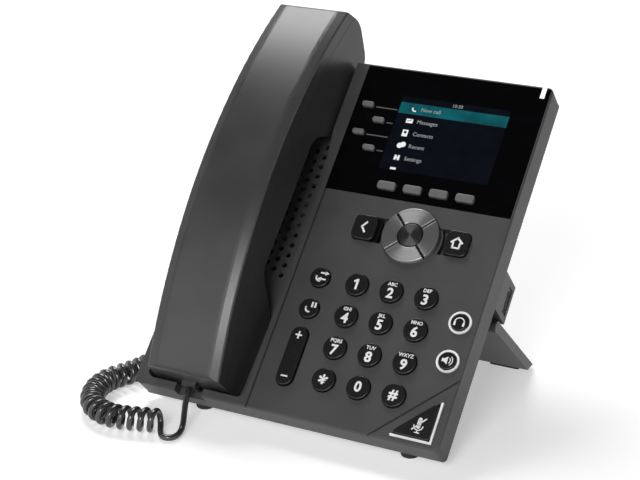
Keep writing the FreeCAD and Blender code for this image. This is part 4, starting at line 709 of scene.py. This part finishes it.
FLOOR_GLOW = 0.45
FAR_FLOOR_GLOW = 0.9
GLOW_FADE = (0.4, 2.2)
FLOOR_REACH = 6.0
FLOOR_DROP = 0.0005
AMBIENT = 0.06
CEILING = 0.03
WALL_FADE = (0.25, 0.7)


def calculated(tree, operation, first, second):
    """Result socket of one sum; each term is a socket or a number."""
    node = tree.nodes.new("ShaderNodeMath")
    node.operation = operation
    for term, socket in zip((first, second), node.inputs):
        if isinstance(term, float):
            socket.default_value = term
        else:
            tree.links.new(term, socket)
    return node.outputs[0]


def mirrored_ray(tree, rays):
    """Socket that is 1 for rays off gloss or through glass."""
    return calculated(tree, "MAXIMUM", rays.outputs["Is Glossy Ray"], rays.outputs["Is Transmission Ray"])


def backdrop_material():
    """Pale ground that shows white to the camera and still takes the object's shadow."""
    material = bpy.data.materials.new("pale_ground")
    material.use_nodes = True
    tree = material.node_tree
    tree.nodes.clear()
    output = tree.nodes.new("ShaderNodeOutputMaterial")
    paper = tree.nodes.new("ShaderNodeBsdfDiffuse")
    grain = object_noise(tree, 9.0, 2.0)
    tone = ramp(tree, grain.outputs["Fac"], (0.78, 0.78, 0.78), (0.8, 0.8, 0.8))
    tree.links.new(tone.outputs["Color"], paper.inputs["Color"])
    glow = tree.nodes.new("ShaderNodeEmission")
    rays = tree.nodes.new("ShaderNodeLightPath")
    seen = calculated(tree, "MAXIMUM", rays.outputs["Is Camera Ray"], mirrored_ray(tree, rays))
    coordinates = tree.nodes.new("ShaderNodeTexCoord")
    distance = tree.nodes.new("ShaderNodeVectorMath")
    distance.operation = "LENGTH"
    tree.links.new(coordinates.outputs["Object"], distance.inputs[0])
    fade = remap(tree, distance.outputs["Value"], FLOOR_GLOW, FAR_FLOOR_GLOW, GLOW_FADE)
    tree.links.new(calculated(tree, "MULTIPLY", seen, fade.outputs["Result"]), glow.inputs["Strength"])
    total = tree.nodes.new("ShaderNodeAddShader")
    tree.links.new(paper.outputs[0], total.inputs[0])
    tree.links.new(glow.outputs[0], total.inputs[1])
    tree.links.new(total.outputs[0], output.inputs["Surface"])
    return material


floor_mesh = bpy.data.meshes.new("floor")
corners = [(x * FLOOR_REACH, y * FLOOR_REACH, 0) for x, y in ((-1, -1), (1, -1), (1, 1), (-1, 1))]
floor_mesh.from_pydata(corners, [], [(0, 1, 2, 3)])
floor = bpy.data.objects.new("floor", floor_mesh)
floor.location.z = -FLOOR_DROP
scene.collection.objects.link(floor)
floor_mesh.materials.append(backdrop_material())

world = bpy.data.worlds.new("studio")
scene.world = world
world.use_nodes = True
sky_tree = world.node_tree
sky = sky_tree.nodes["Background"]
sky.inputs["Color"].default_value = (1, 1, 1, 1)
sky_rays = sky_tree.nodes.new("ShaderNodeLightPath")
direction = sky_tree.nodes.new("ShaderNodeTexCoord")
split = sky_tree.nodes.new("ShaderNodeSeparateXYZ")
sky_tree.links.new(direction.outputs["Generated"], split.inputs["Vector"])
wall = remap(sky_tree, split.outputs["Z"], 1.0, CEILING, WALL_FADE)
sky_mirrored = mirrored_ray(sky_tree, sky_rays)
mirrored_level = calculated(sky_tree, "MULTIPLY", sky_mirrored, wall.outputs["Result"])
unmirrored = calculated(sky_tree, "SUBTRACT", 1.0, sky_mirrored)
spread_level = calculated(sky_tree, "MULTIPLY", unmirrored, AMBIENT)
object_level = calculated(sky_tree, "ADD", mirrored_level, spread_level)
shown_level = calculated(sky_tree, "MAXIMUM", sky_rays.outputs["Is Camera Ray"], object_level)
sky_tree.links.new(shown_level, sky.inputs["Strength"])


def softbox(name, place, target, size, watts):
    """Square area lamp that faces a point."""
    data = bpy.data.lights.new(name, "AREA")
    data.shape = "SQUARE"
    data.size = size
    data.energy = watts
    lamp = bpy.data.objects.new(name, data)
    lamp.location = place
    lamp.rotation_euler = (Vector(target) - Vector(place)).to_track_quat("-Z", "Y").to_euler()
    scene.collection.objects.link(lamp)


softbox("top_light", (-0.5, 0.53, 1.15), (-0.03, 0.03, 0.12), 0.6, 12.0)
softbox("right_light", (0.19, -1.12, 0.68), (-0.04, -0.03, 0.08), 0.42, 8.0)
softbox("front_light", (-0.45, -1.28, 0.75), (0, 0, 0.06), 1.0, 3.0)
